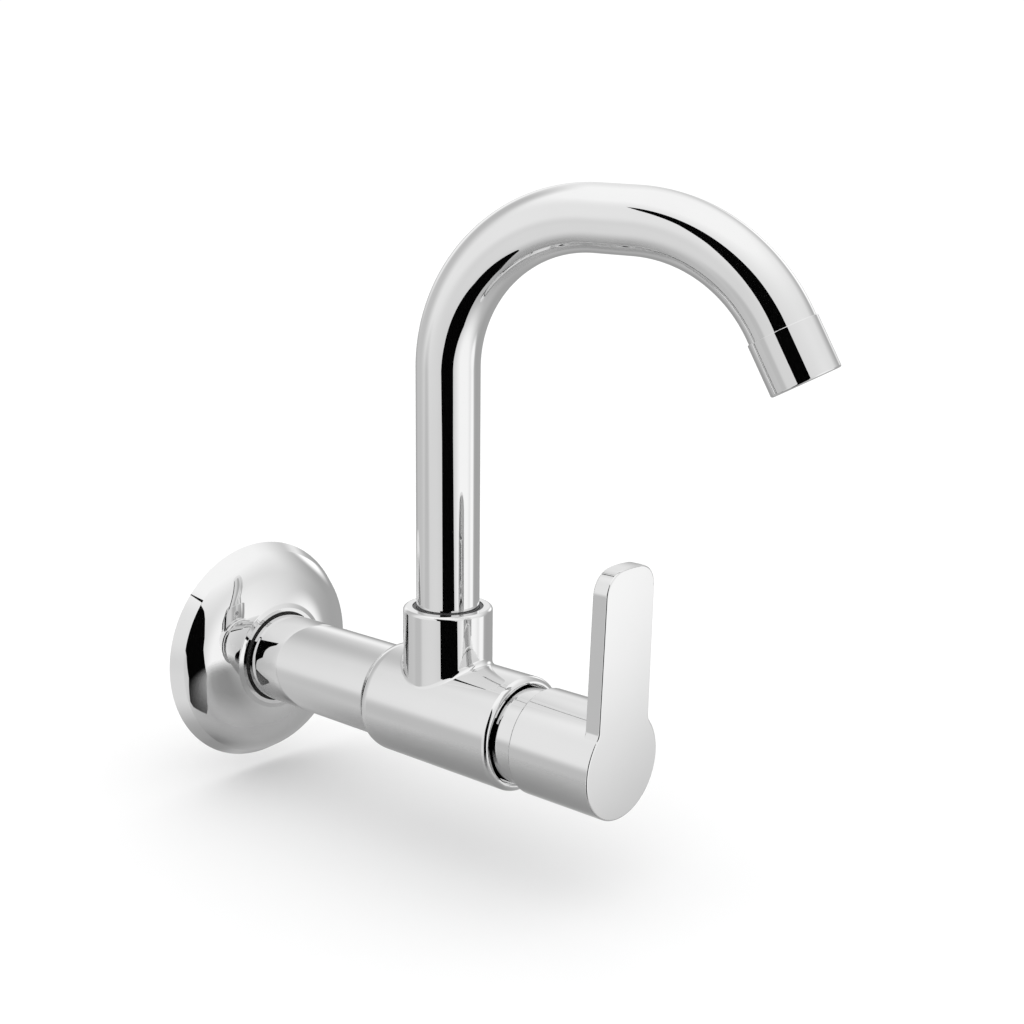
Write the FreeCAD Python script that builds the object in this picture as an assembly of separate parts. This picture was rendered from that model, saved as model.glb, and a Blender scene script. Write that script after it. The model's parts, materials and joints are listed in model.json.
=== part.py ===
import FreeCAD, Part
import math
import os

# Wall sink tap with a swinging bent spout and a quarter-turn lever.
# Millimetres, +Z up. The origin is where the tap's own axis meets the wall, the tap stands out
# along -Y, and +X is to the right of someone who faces it.
# Pieces turned about the tap's axis are drawn with their own Z along the way out of the wall, and
# pieces of the spout's socket with Z up, measured from the tap's axis.

Vector = FreeCAD.Vector

# Wall flange: a dished cover pressed from sheet, with a short collar round the inlet leg.
flange_radius = 38.2
flange_rim_radius = 35.7
flange_rim_depth = 4.4
flange_rim_round = 0.6
flange_shoulder_radius = 28.2
flange_shoulder_depth = 9.6
flange_wall = 1.4
flange_dome_bulge = 0.25
flange_collar_radius = 18.4
flange_collar_start = 11.95
flange_collar_blend = 2.5
flange_collar_height = 0.55
flange_lip_wall = 1.2
flange_lip_round_share = 0.4

# Rubber ring that grips the leg inside the flange's collar.
flange_seal_wall = 0.75
flange_seal_height = 1.8
flange_seal_recess = 0.35

# Inlet leg: G 1/2 tail into the wall, plain chromed sleeve, spigot into the valve body.
tail_radius = 10.4775
tail_length = 13.0
tail_chamfer = 0.9
leg_radius = 15.0
leg_wall_gap = 2.0
leg_length = 67.2
leg_edge_round = 0.25
waterway_radius = 6.5
spigot_radius = 10.9
spigot_length = 10.5
spigot_chamfer = 0.6
spigot_groove_start = 3.2
spigot_seal_section = 0.9

# Valve body: cored brass casting with a socket on top for the spout.
body_radius = 17.7
shoulder_start_radius = 15.7
shoulder_length = 5.0
body_rim_round = 1.8
seat_depth = 15.3
seat_hole_radius = 6.0
chamber_radius = 13.4
chamber_length = 19.5
chamber_round = 1.6
headwork_thread_length = 13.5
recess_radius = 15.3
recess_depth = 7.5
recess_lip_round = 0.4
boss_offset = 23.6
boss_radius = 13.9
boss_height = 34.0
boss_rim_round = 1.2
boss_blend = 1.8
socket_floor = 17.2

# Quarter-turn headwork: seal, two ceramic discs, spindle and the brass shell that holds them.
seat_seal_wall = 2.2
seat_seal_height = 2.4
disc_radius = 8.3
disc_thickness = 2.4
disc_film = 0.05
disc_window_inner = 2.4
disc_window_outer = 6.6
disc_window_angle = 78.0
drive_notch_width = 3.0
drive_notch_depth = 1.3
drive_lug_gap = 0.1
barrel_wall = 1.2
barrel_stand_off = 1.0
headwork_thread_radius = 10.4775
thread_lead = 0.4
headwork_hex_flats = 22.0
headwork_hex_length = 5.8
headwork_nose_radius = 8.4
headwork_nose_length = 5.5
headwork_window_width = 8.0
headwork_washer_thickness = 1.2
headwork_washer_wall = 2.2
spindle_foot_thickness = 2.2
spindle_stem_radius = 3.4
spindle_stem_length = 4.5
spindle_collar_radius = 6.0
spindle_collar_length = 14.0
spindle_neck_radius = 4.6
spindle_seal_section = 0.85
spindle_seal_spacing = 4.4
spindle_seal_start = 2.6
thrust_washer_thickness = 0.6
spline_radius = 4.0
spline_tooth_depth = 0.4
spline_teeth = 20
spline_tip_share = 0.15
spline_root_share = 0.35
spline_length = 14.5
spline_neck_length = 2.5
clip_thickness = 1.0
clip_depth = 0.8
clip_wall = 2.2
clip_opening = 5.0

# Neck ring: the chromed shroud screwed on the headwork's nose.
neck_ring_radius = 14.7
neck_ring_wall = 1.5
neck_ring_web = 3.0
neck_ring_edge_round = 0.4
neck_ring_overlap = 1.1

# Handle: hollow hub and flat lever in one casting, whose front is one plane.
neck_length = 7.2
hub_radius = 16.17
hub_length = 29.73
hub_back_round = 0.9
hub_mouth_depth = 2.6
hub_wall = 2.6
hub_core_radius = 8.5
hub_core_setback = 3.3
hub_rib_thickness = 2.0
hub_rib_count = 4
hub_rib_start = 45.0
hub_rib_depth = 12.3
hub_front_wall = 6.0
hub_floor_round = 1.0
face_lean = 1.63
lever_thickness = 5.2
lever_base_width = 23.0
lever_tip_width = 21.4
lever_reach = 59.0
lever_crown = 1.5
lever_corner = 7.2
lever_root_blend = 3.5
lever_edge_round = 0.55
lever_back_blend = 1.0
handle_insert_radius = 6.0
handle_insert_length = 13.3

# Grub screw under the hub and the plug over its hole.
handle_screw_radius = 2.5
handle_screw_length = 6.0
handle_screw_offset = 10.8
handle_screw_tip_gap = 0.1
handle_screw_key_flats = 2.5
screw_cover_radius = 2.9
screw_cover_inset = 0.25

# Spout: a bent tube on a turned bush. The bends follow the photograph's outline.
tube_radius = 9.75
tube_wall = 1.2
riser_height = 107.8
first_bend_radius = 45.0
first_bend_angle = 92.6
crown_length = 11.8
second_bend_radius = 50.25
second_bend_angle = 59.5
outlet_length = 2.45
spout_turn = 16.0
bush_length = 12.6
bush_spigot_length = 6.0
bush_wall = 1.8
bush_seal_section = 0.8
bush_seal_margin = 1.7
bush_groove_width = 3.2
bush_groove_depth = 1.7
socket_washer_thickness = 1.0
slip_ring_wall = 1.3
slip_ring_height = 3.6
slip_ring_recess = 0.3

# Dog-point grub screw behind the socket that keeps the spout in.
spout_screw_radius = 2.0
spout_screw_dog_radius = 1.25
spout_screw_dog_length = 1.5
spout_screw_tip_gap = 0.35
spout_screw_recess = 0.4
spout_screw_key_flats = 2.0

# Aerator at the spout's end.
cap_step = 0.45
cap_length = 15.5
cap_edge_round = 0.6
cap_seam_round = 0.2
cap_overlap = 1.0
nipple_thread_step = 0.4
nipple_thread_length = 7.4
nipple_bend_gap = 0.3
nipple_wall = 1.4
gasket_thickness = 1.4
aerator_flange_play = 0.2
aerator_flange_thickness = 1.2
aerator_flange_width = 1.2
aerator_wall = 1.0
aerator_setback = 0.4
aerator_grid_thickness = 2.2
aerator_grid_ring_radius = 4.4
aerator_grid_bar = 0.55
aerator_grid_spokes = 12
diffuser_thickness = 1.0
diffuser_hole_radius = 0.55
diffuser_hole_circle = 5.6
diffuser_hole_count = 12
screen_thickness = 0.3

# Edges and corners of turned pieces, rubber rings and their grooves.
fine_edge = 0.2
turned_edge = 0.3
turned_fillet = 0.6
rubber_edge_share = 0.2
seal_groove_slack = 0.15
joined_overlap = 0.5
corner_share = 0.48

# Clearances.
thread_clearance = 0.05
running_clearance = 0.06
seating_clearance = 0.02
screw_hole_clearance = 0.1
neck_to_hub_gap = 0.35

# Places along the tap's axis, measured out from the wall.
leg_back = leg_wall_gap
leg_front = leg_back + leg_length
body_back = leg_front
seat_face = body_back + seat_depth
chamber_end = seat_face + chamber_length
recess_floor = chamber_end + headwork_thread_length
body_front = recess_floor + recess_depth
boss_axis = body_back + boss_offset
fixed_disc_back = seat_face + seat_seal_height
moving_disc_back = fixed_disc_back + disc_thickness + disc_film
foot_back = moving_disc_back + disc_thickness + disc_film
stem_back = foot_back + spindle_foot_thickness
collar_back = stem_back + spindle_stem_length
collar_front = collar_back + spindle_collar_length
spindle_stop = collar_front + thrust_washer_thickness + disc_film
hex_back = recess_floor + headwork_washer_thickness
hex_front = hex_back + headwork_hex_length
nose_front = hex_front + headwork_nose_length
hub_back = body_front + neck_length
face_centre = hub_back + hub_length
core_back = hub_back + hub_core_setback
handle_screw_place = hub_back + handle_screw_offset

# Heights in the spout's socket, measured up from the tap's axis.
bush_bottom = socket_floor + socket_washer_thickness + disc_film
bush_top = bush_bottom + bush_length
slip_ring_bottom = boss_height - slip_ring_height
bush_groove_middle = bush_bottom + bush_length / 2
bush_seal_lower = bush_bottom + bush_seal_margin + bush_seal_section
bush_seal_upper = bush_top - bush_seal_margin - bush_seal_section

# Places along the spout's outlet, measured from the tube's end the way the water leaves.
gasket_back = nipple_thread_length
aerator_back = gasket_back + gasket_thickness
aerator_ledge = aerator_back + aerator_flange_thickness
cap_mouth = cap_length - cap_overlap
aerator_end = cap_mouth - aerator_setback

# Radii in the spout's foot and at its outlet, all taken from the tube's.
tube_bore_radius = tube_radius - tube_wall
bush_bore_radius = tube_bore_radius - bush_wall
socket_port_radius = bush_bore_radius
cap_radius = tube_radius + cap_step
nipple_thread_radius = tube_radius - nipple_thread_step
nipple_bore_radius = tube_bore_radius - nipple_wall
aerator_flange_radius = nipple_thread_radius - aerator_flange_play
aerator_body_radius = aerator_flange_radius - aerator_flange_width

# Radius of the groove in the spline that the handle's grub screw bears on.
handle_screw_seat = spline_radius - 2 * spline_tooth_depth

# How far cutting shapes run past what they cut, and how near counts as touching.
overcut = 1.0
touch = 0.01


def closed_wire(corners):
    """Closed wire in the XZ plane through (x, z) or (x, z, round) corners."""
    points = [Vector(corner[0], 0, corner[1]) for corner in corners]
    rounds = [corner[2] if len(corner) > 2 else 0 for corner in corners]
    bends = []
    for index, point in enumerate(points):
        back = points[index - 1] - point
        ahead = points[(index + 1) % len(points)] - point
        half_angle = back.getAngle(ahead) / 2
        room = corner_share * min(back.Length, ahead.Length)
        reach = min(rounds[index] / math.tan(half_angle), room)
        radius = reach * math.tan(half_angle)
        back = back * (1 / back.Length)
        ahead = ahead * (1 / ahead.Length)
        bisector = back + ahead
        middle = point
        if reach > 0:
            depth = radius / math.sin(half_angle) - radius
            middle = point + bisector * (depth / bisector.Length)
        bends.append((point + back * reach, middle, point + ahead * reach, reach))
    edges = []
    for index, (start, middle, end, reach) in enumerate(bends):
        if reach > 0:
            edges.append(Part.Arc(start, middle, end).toShape())
        next_start = bends[(index + 1) % len(bends)][0]
        edges.append(Part.LineSegment(end, next_start).toShape())
    return Part.Wire(edges)


def outward(solid):
    """The same solid with its faces pointing outwards."""
    if solid.Volume < 0:
        solid.reverse()
    return solid


def turned(corners, angle=360):
    """Solid turned about the Z axis from an outline of (radius, height, round) corners."""
    face = Part.Face(closed_wire(corners))
    return outward(face.revolve(Vector(0, 0, 0), Vector(0, 0, 1), angle))


def rod(radius, low, high):
    return Part.makeCylinder(radius, high - low, Vector(0, 0, low))


def tube_ring(inner, outer, low, high, edge=0):
    return turned([(inner, low, edge), (outer, low, edge), (outer, high, edge), (inner, high, edge)])


def rubber_ring(inner, section, middle):
    """O-ring of a given inner radius and section radius, round the Z axis."""
    return Part.makeTorus(inner + section, section, Vector(0, 0, middle))


def prism(points, low, high):
    """Straight solid over a closed polygon of (x, y) points."""
    corners = [Vector(x, y, low) for x, y in points]
    face = Part.Face(Part.makePolygon(corners + corners[:1]))
    return outward(face.extrude(Vector(0, 0, high - low)))


def hexagon(flats):
    corner_radius = flats / 2 / math.cos(math.radians(30))
    angles = [math.radians(60 * step) for step in range(6)]
    return [(corner_radius * math.cos(angle), corner_radius * math.sin(angle)) for angle in angles]


def spline_points(outer, depth):
    """Star of (x, y) points, two to a tooth tip and two to a root."""
    points = []
    pitch = 2 * math.pi / spline_teeth
    for tooth in range(spline_teeth):
        for share, radius in (
                (-spline_root_share, outer - depth), (-spline_tip_share, outer),
                (spline_tip_share, outer), (spline_root_share, outer - depth)):
            angle = (tooth + share) * pitch
            points.append((radius * math.cos(angle), radius * math.sin(angle)))
    return points


def spun(shape, angle):
    """Copy turned about the Z axis."""
    copy = shape.copy()
    copy.rotate(Vector(0, 0, 0), Vector(0, 0, 1), angle)
    return copy


def out_of_wall(shape):
    """Puts a piece drawn along Z on the tap's axis, with its Z pointing out of the wall."""
    placed = shape.copy()
    placed.rotate(Vector(0, 0, 0), Vector(1, 0, 0), 90)
    return placed


def over_socket(shape):
    """Puts a piece drawn about Z over the spout's socket."""
    placed = shape.copy()
    placed.translate(Vector(0, -boss_axis, 0))
    return placed


def edges_near(shape, test):
    """Edges whose two ends and middle all pass a test."""
    chosen = []
    for edge in shape.Edges:
        middle = edge.valueAt((edge.FirstParameter + edge.LastParameter) / 2)
        places = [vertex.Point for vertex in edge.Vertexes] + [middle]
        if all(test(place) for place in places):
            chosen.append(edge)
    return chosen


def arc_between(start, end, bulge):
    """Arc from start to end in the XZ plane, standing out by bulge to the right of its chord."""
    chord = end - start
    side = Vector(chord.z, 0, -chord.x) * (1 / chord.Length)
    middle = (start + end) * 0.5 + side * bulge
    return Part.Arc(start, middle, end).toShape()


def arc_along(start, end, way):
    """Arc from start to end that arrives along the given way."""
    chord = end - start
    return arc_between(start, end, chord.Length / 2 * math.tan(chord.getAngle(way) / 2))


def make_flange():
    """Dished flange: outer rim band, round shoulder, domed face, collar, and the same form inside."""
    hole = leg_radius + flange_seal_wall
    lip = hole + flange_lip_wall
    top = flange_collar_start + flange_collar_height
    outer_foot = Vector(flange_radius, 0, 0)
    outer_rim = Vector(flange_rim_radius, 0, flange_rim_depth)
    outer_shoulder = Vector(flange_shoulder_radius, 0, flange_shoulder_depth)
    outer_root = Vector(flange_collar_radius, 0, flange_collar_start)
    inner_root = Vector(flange_collar_radius - flange_wall, 0, flange_collar_start - flange_wall)
    inner_rim = Vector(flange_rim_radius - flange_wall, 0, flange_rim_depth - flange_wall / 2)
    inner_foot = Vector(flange_radius - flange_wall, 0, 0)
    dome = outer_root - outer_shoulder
    dome_turn = math.atan(2 * flange_dome_bulge / dome.Length) * 2
    way = FreeCAD.Rotation(Vector(0, 1, 0), math.degrees(dome_turn)).multVec(dome)
    way = way * (1 / way.Length)
    inner_shoulder = outer_shoulder - Vector(way.z, 0, -way.x) * flange_wall
    straight = [outer_root, Vector(lip, 0, top), Vector(hole, 0, top),
                Vector(hole, 0, flange_collar_start - flange_wall), inner_root]
    edges = [Part.LineSegment(outer_foot, outer_rim).toShape()]
    edges.append(arc_along(outer_rim, outer_shoulder, way))
    edges.append(arc_between(outer_shoulder, outer_root, flange_dome_bulge))
    for start, end in zip(straight, straight[1:]):
        edges.append(Part.LineSegment(start, end).toShape())
    edges.append(Part.LineSegment(inner_root, inner_shoulder).toShape())
    edges.append(arc_along(inner_rim, inner_shoulder, inner_root - inner_shoulder))
    edges.append(Part.LineSegment(inner_rim, inner_foot).toShape())
    edges.append(Part.LineSegment(inner_foot, outer_foot).toShape())
    face = Part.Face(Part.Wire(edges))
    flange = outward(face.revolve(Vector(0, 0, 0), Vector(0, 0, 1), 360))

    def on_circle(radius, height):
        def test(place):
            return abs(math.hypot(place.x, place.y) - radius) < touch and abs(place.z - height) < touch
        return test

    flange = flange.makeFillet(
        flange_rim_round, edges_near(flange, on_circle(flange_rim_radius, flange_rim_depth)))
    flange = flange.makeFillet(
        flange_collar_blend, edges_near(flange, on_circle(flange_collar_radius, flange_collar_start)))
    lip_round = flange_lip_round_share * flange_lip_wall
    return flange.makeFillet(lip_round, edges_near(flange, on_circle(lip, top)))


def make_flange_seal():
    """Rubber ring between the collar and the leg, a little below the collar's lip."""
    top = flange_collar_start + flange_collar_height - flange_seal_recess
    inner = leg_radius + seating_clearance
    outer = leg_radius + flange_seal_wall - seating_clearance
    return tube_ring(inner, outer, top - flange_seal_height, top, rubber_edge_share * flange_seal_wall)


def make_inlet_leg():
    """Tail, sleeve and grooved spigot in one turning, with the waterway through it."""
    spigot_end = leg_front + spigot_length
    groove = leg_front + spigot_groove_start
    groove_end = groove + 2 * (spigot_seal_section + seal_groove_slack)
    groove_radius = spigot_radius + thread_clearance - 2 * spigot_seal_section - seating_clearance
    return turned([
        (waterway_radius, -tail_length),
        (tail_radius - tail_chamfer, -tail_length),
        (tail_radius, -tail_length + tail_chamfer),
        (tail_radius, leg_back),
        (leg_radius, leg_back, leg_edge_round),
        (leg_radius, leg_front, leg_edge_round),
        (spigot_radius, leg_front),
        (spigot_radius, groove),
        (groove_radius, groove),
        (groove_radius, groove_end),
        (spigot_radius, groove_end),
        (spigot_radius, spigot_end, spigot_chamfer),
        (waterway_radius, spigot_end),
    ])


def make_inlet_leg_seal():
    inner = spigot_radius + thread_clearance - 2 * spigot_seal_section
    middle = leg_front + spigot_groove_start + spigot_seal_section + seal_groove_slack
    return rubber_ring(inner, spigot_seal_section - seating_clearance / 2, middle)


def body_outside():
    """Barrel with its rounded shoulder and rim, and the boss for the spout blended into it."""
    rise = body_radius - shoulder_start_radius
    shoulder_radius = (shoulder_length ** 2 + rise ** 2) / (2 * rise)
    half_angle = math.asin(shoulder_length / shoulder_radius) / 2
    centre = Vector(body_radius - shoulder_radius, 0, body_back + shoulder_length)
    middle = centre + Vector(math.cos(half_angle), 0, -math.sin(half_angle)) * shoulder_radius
    start = Vector(shoulder_start_radius, 0, body_back)
    end = Vector(body_radius, 0, body_back + shoulder_length)
    rim_start = Vector(body_radius, 0, body_front - body_rim_round)
    rim_middle = Vector(body_radius - body_rim_round * (1 - math.cos(math.pi / 4)), 0,
                        body_front - body_rim_round * (1 - math.sin(math.pi / 4)))
    rim_end = Vector(body_radius - body_rim_round, 0, body_front)
    edges = [
        Part.LineSegment(Vector(0, 0, body_back), start).toShape(),
        Part.Arc(start, middle, end).toShape(),
        Part.LineSegment(end, rim_start).toShape(),
        Part.Arc(rim_start, rim_middle, rim_end).toShape(),
        Part.LineSegment(rim_end, Vector(0, 0, body_front)).toShape(),
        Part.LineSegment(Vector(0, 0, body_front), Vector(0, 0, body_back)).toShape(),
    ]
    face = Part.Face(Part.Wire(edges))
    barrel = outward(face.revolve(Vector(0, 0, 0), Vector(0, 0, 1), 360))
    boss = over_socket(turned([
        (0, 0), (boss_radius, 0), (boss_radius, boss_height, boss_rim_round), (0, boss_height)]))
    casting = out_of_wall(barrel).fuse(boss).removeSplitter()

    def on_crossing(place):
        on_barrel = abs(math.hypot(place.x, place.z) - body_radius) < touch
        return on_barrel and abs(math.hypot(place.x, place.y + boss_axis) - boss_radius) < touch

    return casting.makeFillet(boss_blend, edges_near(casting, on_crossing))


def make_valve_body():
    """Casting with the leg's socket, the valve seat, the water chamber and the threads bored out."""
    socket_end = body_back + spigot_length + thread_clearance
    bores = out_of_wall(turned([
        (0, body_back - overcut),
        (spigot_radius + thread_clearance, body_back - overcut),
        (spigot_radius + thread_clearance, socket_end),
        (waterway_radius, socket_end),
        (seat_hole_radius, seat_face),
        (chamber_radius, seat_face, chamber_round),
        (chamber_radius, chamber_end, chamber_round),
        (headwork_thread_radius + thread_clearance, chamber_end),
        (headwork_thread_radius + thread_clearance, recess_floor),
        (recess_radius, recess_floor),
        (recess_radius, body_front - recess_lip_round),
        (recess_radius + recess_lip_round, body_front),
        (recess_radius + recess_lip_round, body_front + overcut),
        (0, body_front + overcut),
    ]))
    socket = over_socket(turned([
        (0, 0),
        (socket_port_radius, 0),
        (socket_port_radius, socket_floor),
        (tube_radius + running_clearance, socket_floor),
        (tube_radius + running_clearance, slip_ring_bottom),
        (tube_radius + slip_ring_wall, slip_ring_bottom),
        (tube_radius + slip_ring_wall, boss_height + overcut),
        (0, boss_height + overcut),
    ]))
    screw_hole = Part.makeCylinder(
        spout_screw_radius + thread_clearance, boss_radius + overcut,
        Vector(0, -boss_axis, bush_groove_middle), Vector(0, 1, 0))
    return body_outside().cut(bores).cut(socket).cut(screw_hole)


def make_seat_seal():
    inner = seat_hole_radius
    edge = rubber_edge_share * seat_seal_wall
    return tube_ring(inner, inner + seat_seal_wall, seat_face, fixed_disc_back, edge)


def disc_windows(low, high):
    """Two opposite sector-shaped ports, centred on the X axis, as cutting solids."""
    ports = []
    for side in (0, 180):
        sector = turned([
            (disc_window_inner, low), (disc_window_outer, low),
            (disc_window_outer, high), (disc_window_inner, high)], disc_window_angle)
        ports.append(spun(sector, side - disc_window_angle / 2))
    return ports


def drive_notches(width, low, high):
    """Two blocks at the rim, on the X axis, for the notches and lugs that turn the moving disc."""
    blocks = []
    for side in (0, 180):
        block = Part.makeBox(drive_notch_depth + overcut, width, high - low)
        block.translate(Vector(disc_radius - drive_notch_depth, -width / 2, low))
        blocks.append(spun(block, side))
    return blocks


def make_fixed_disc():
    """Ceramic disc whose ports lie left and right."""
    disc = rod(disc_radius - seating_clearance, fixed_disc_back, fixed_disc_back + disc_thickness)
    for port in disc_windows(fixed_disc_back - overcut, fixed_disc_back + disc_thickness + overcut):
        disc = disc.cut(port)
    return disc


def make_moving_disc():
    """Ceramic disc whose ports stand above and below while the tap is shut, notched for its drive."""
    low = moving_disc_back
    high = low + disc_thickness
    disc = rod(disc_radius - running_clearance, low, high)
    for port in disc_windows(low - overcut, high + overcut):
        disc = disc.cut(spun(port, 90))
    for notch in drive_notches(drive_notch_width, low - overcut, high + overcut):
        disc = disc.cut(notch)
    return disc


def make_headwork_body():
    """Brass shell: windowed barrel round the discs, thread, hexagon, and nose for the neck ring."""
    barrel_end = seat_face + barrel_stand_off
    barrel_radius = disc_radius + barrel_wall
    collar_bore = spindle_collar_radius + running_clearance
    shell = turned([
        (disc_radius, barrel_end),
        (barrel_radius, barrel_end, turned_edge),
        (barrel_radius, chamber_end - thread_lead),
        (headwork_thread_radius, chamber_end + thread_lead),
        (headwork_thread_radius, hex_back),
        (0, hex_back),
        (0, collar_back),
        (disc_radius, collar_back, turned_fillet),
    ])
    hexagon_block = prism(hexagon(headwork_hex_flats), hex_back, hex_front)
    nose = rod(headwork_nose_radius, hex_back, nose_front)
    shell = shell.fuse(hexagon_block).fuse(nose).removeSplitter()
    shell = shell.cut(rod(collar_bore, collar_back - overcut, spindle_stop))
    neck_bore = spindle_neck_radius + running_clearance
    shell = shell.cut(rod(neck_bore, spindle_stop - overcut, nose_front + overcut))
    window = Part.makeBox(
        2 * (barrel_radius + overcut), headwork_window_width, collar_back - foot_back,
        Vector(-barrel_radius - overcut, -headwork_window_width / 2, foot_back))
    return shell.cut(window).cut(spun(window, 90))


def make_headwork_washer():
    inner = headwork_thread_radius + thread_clearance
    return tube_ring(inner, inner + headwork_washer_wall, recess_floor, hex_back)


def make_spindle():
    """Ported foot with two lugs, stem, grooved collar, neck with the clip's groove, and spline."""
    groove_floor = spindle_collar_radius - 2 * spindle_seal_section - seating_clearance
    groove_half = spindle_seal_section + seal_groove_slack
    grooves = [collar_back + spindle_seal_start, collar_back + spindle_seal_start + spindle_seal_spacing]
    clip_back = nose_front + disc_film
    clip_floor = spindle_neck_radius - clip_depth
    neck_end = nose_front + spline_neck_length
    foot_radius = disc_radius - running_clearance
    corners = [(0, foot_back), (foot_radius, foot_back),
               (foot_radius, stem_back), (spindle_stem_radius, stem_back, turned_fillet),
               (spindle_stem_radius, collar_back, turned_fillet),
               (spindle_collar_radius, collar_back, turned_edge)]
    for middle in grooves:
        corners += [(spindle_collar_radius, middle - groove_half), (groove_floor, middle - groove_half),
                    (groove_floor, middle + groove_half), (spindle_collar_radius, middle + groove_half)]
    corners += [(spindle_collar_radius, collar_front), (spindle_neck_radius, collar_front),
                (spindle_neck_radius, clip_back), (clip_floor, clip_back),
                (clip_floor, clip_back + clip_thickness), (spindle_neck_radius, clip_back + clip_thickness),
                (spindle_neck_radius, neck_end, turned_edge), (0, neck_end)]
    spindle = turned(corners)
    for port in disc_windows(foot_back - overcut, stem_back):
        spindle = spindle.cut(spun(port, 90))
    lug_width = drive_notch_width - 2 * running_clearance
    lug_low = moving_disc_back + drive_lug_gap
    lug_high = foot_back + joined_overlap
    lug_room = rod(foot_radius, lug_low, lug_high).cut(
        rod(disc_radius - drive_notch_depth + running_clearance, lug_low - overcut, foot_back))
    for lug in drive_notches(lug_width, lug_low, lug_high):
        spindle = spindle.fuse(lug.common(lug_room))
    star = spline_points(spline_radius, spline_tooth_depth)
    spline = prism(star, neck_end - joined_overlap, neck_end + spline_length)
    spindle = spindle.fuse(spline).removeSplitter()
    screw_flat = tube_ring(
        handle_screw_seat, spline_radius + overcut,
        handle_screw_place - handle_screw_radius, handle_screw_place + handle_screw_radius)
    return spindle.cut(screw_flat)


def make_spindle_seal(order):
    middle = collar_back + spindle_seal_start + order * spindle_seal_spacing
    inner = spindle_collar_radius - 2 * spindle_seal_section
    return rubber_ring(inner, spindle_seal_section - seating_clearance / 2, middle)


def make_spindle_thrust_washer():
    inner = spindle_neck_radius + running_clearance
    outer = spindle_collar_radius - seating_clearance
    return tube_ring(inner, outer, spindle_stop - thrust_washer_thickness, spindle_stop)


def make_spindle_clip():
    """Open retaining ring snapped into the spindle's neck outside the nose."""
    low = nose_front + disc_film
    inner = spindle_neck_radius - clip_depth + seating_clearance
    clip = tube_ring(inner, inner + clip_wall, low, low + clip_thickness)
    opening = Part.makeBox(
        2 * inner + clip_wall, clip_opening, clip_thickness + 2 * overcut,
        Vector(0, -clip_opening / 2, low - overcut))
    return clip.cut(opening)


def make_neck_ring():
    """Shroud over the hexagon, held by its threaded web on the headwork's nose."""
    inside = neck_ring_radius - neck_ring_wall
    back = recess_floor + seating_clearance
    front = hub_back + neck_ring_overlap
    web_back = hex_front + thread_clearance
    return turned([
        (inside, back),
        (neck_ring_radius, back, neck_ring_edge_round),
        (neck_ring_radius, front, neck_ring_edge_round),
        (inside, front),
        (inside, web_back + neck_ring_web),
        (headwork_nose_radius + thread_clearance, web_back + neck_ring_web),
        (headwork_nose_radius + thread_clearance, web_back),
        (inside, web_back),
    ])


def keyhole_outline():
    """Half outline of the handle's front, from the hub's lowest point to the lever's crown."""
    foot = lever_base_width / 2
    tip = lever_tip_width / 2
    side = Vector(tip - foot, lever_reach, 0)
    side = side * (1 / side.Length)
    normal = Vector(side.y, -side.x, 0)
    near = Vector(foot, 0, 0) + normal * lever_root_blend
    reach = hub_radius + lever_root_blend
    along = -near.dot(side) + math.sqrt(near.dot(side) ** 2 - near.dot(near) + reach ** 2)
    blend_centre = near + side * along
    hub_touch = blend_centre * (hub_radius / reach)
    side_touch = blend_centre - normal * lever_root_blend
    bisector = (hub_touch - blend_centre) + (side_touch - blend_centre)
    blend_middle = blend_centre + bisector * (lever_root_blend / bisector.Length)
    crown_radius = (tip ** 2 + lever_crown ** 2) / (2 * lever_crown)
    crown_centre = Vector(0, lever_reach - crown_radius, 0)
    inside = Vector(foot, 0, 0) - normal * lever_corner - crown_centre
    away = crown_radius - lever_corner
    climb = -inside.dot(side) + math.sqrt(inside.dot(side) ** 2 - inside.dot(inside) + away ** 2)
    corner_centre = crown_centre + inside + side * climb
    corner_start = corner_centre + normal * lever_corner
    outwards = (corner_centre - crown_centre) * (1 / away)
    corner_end = corner_centre + outwards * lever_corner
    spread = normal + outwards
    corner_middle = corner_centre + spread * (lever_corner / spread.Length)
    return [
        Part.Arc(Vector(0, -hub_radius, 0), Vector(hub_radius, 0, 0), hub_touch).toShape(),
        Part.Arc(hub_touch, blend_middle, side_touch).toShape(),
        Part.LineSegment(side_touch, corner_start).toShape(),
        Part.Arc(corner_start, corner_middle, corner_end).toShape(),
        Part.Arc(corner_end, Vector(0, lever_reach, 0), Vector(-corner_end.x, corner_end.y, 0)).toShape(),
    ]


def leaning_slab(low, high):
    """Slab between two planes that lean with the handle's front, low and high beyond its face."""
    size = 4 * (lever_reach + hub_radius)
    slab = Part.makeBox(size, size, high - low, Vector(-size / 2, -size / 2, low))
    slab.rotate(Vector(0, 0, 0), Vector(1, 0, 0), face_lean)
    slab.translate(Vector(0, 0, face_centre))
    return slab


def make_keyhole_plate():
    """Lever and front of the hub: the keyhole between two leaning planes, with its edges rounded."""
    half = keyhole_outline()
    mirrored = [edge.mirror(Vector(0, 0, 0), Vector(1, 0, 0)) for edge in half[:-1]]
    front = Part.Face(Part.Wire(Part.__sortEdges__(half + mirrored)))
    column = outward(front.extrude(Vector(0, 0, 3 * hub_length)))
    column.translate(Vector(0, 0, hub_back))
    plate = column.common(leaning_slab(-lever_thickness, 0)).removeSplitter()

    def on_rim(place):
        depths = (0, lever_thickness)
        return any(abs(place.z - leaning_height(place, depth)) < touch for depth in depths)

    return plate.makeFillet(lever_edge_round, edges_near(plate, on_rim))


def leaning_height(place, depth):
    """Height of the plane that lies a given depth behind the handle's face, at a place."""
    lean = math.radians(face_lean)
    return face_centre + place.y * math.tan(lean) - depth / math.cos(lean)


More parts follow.
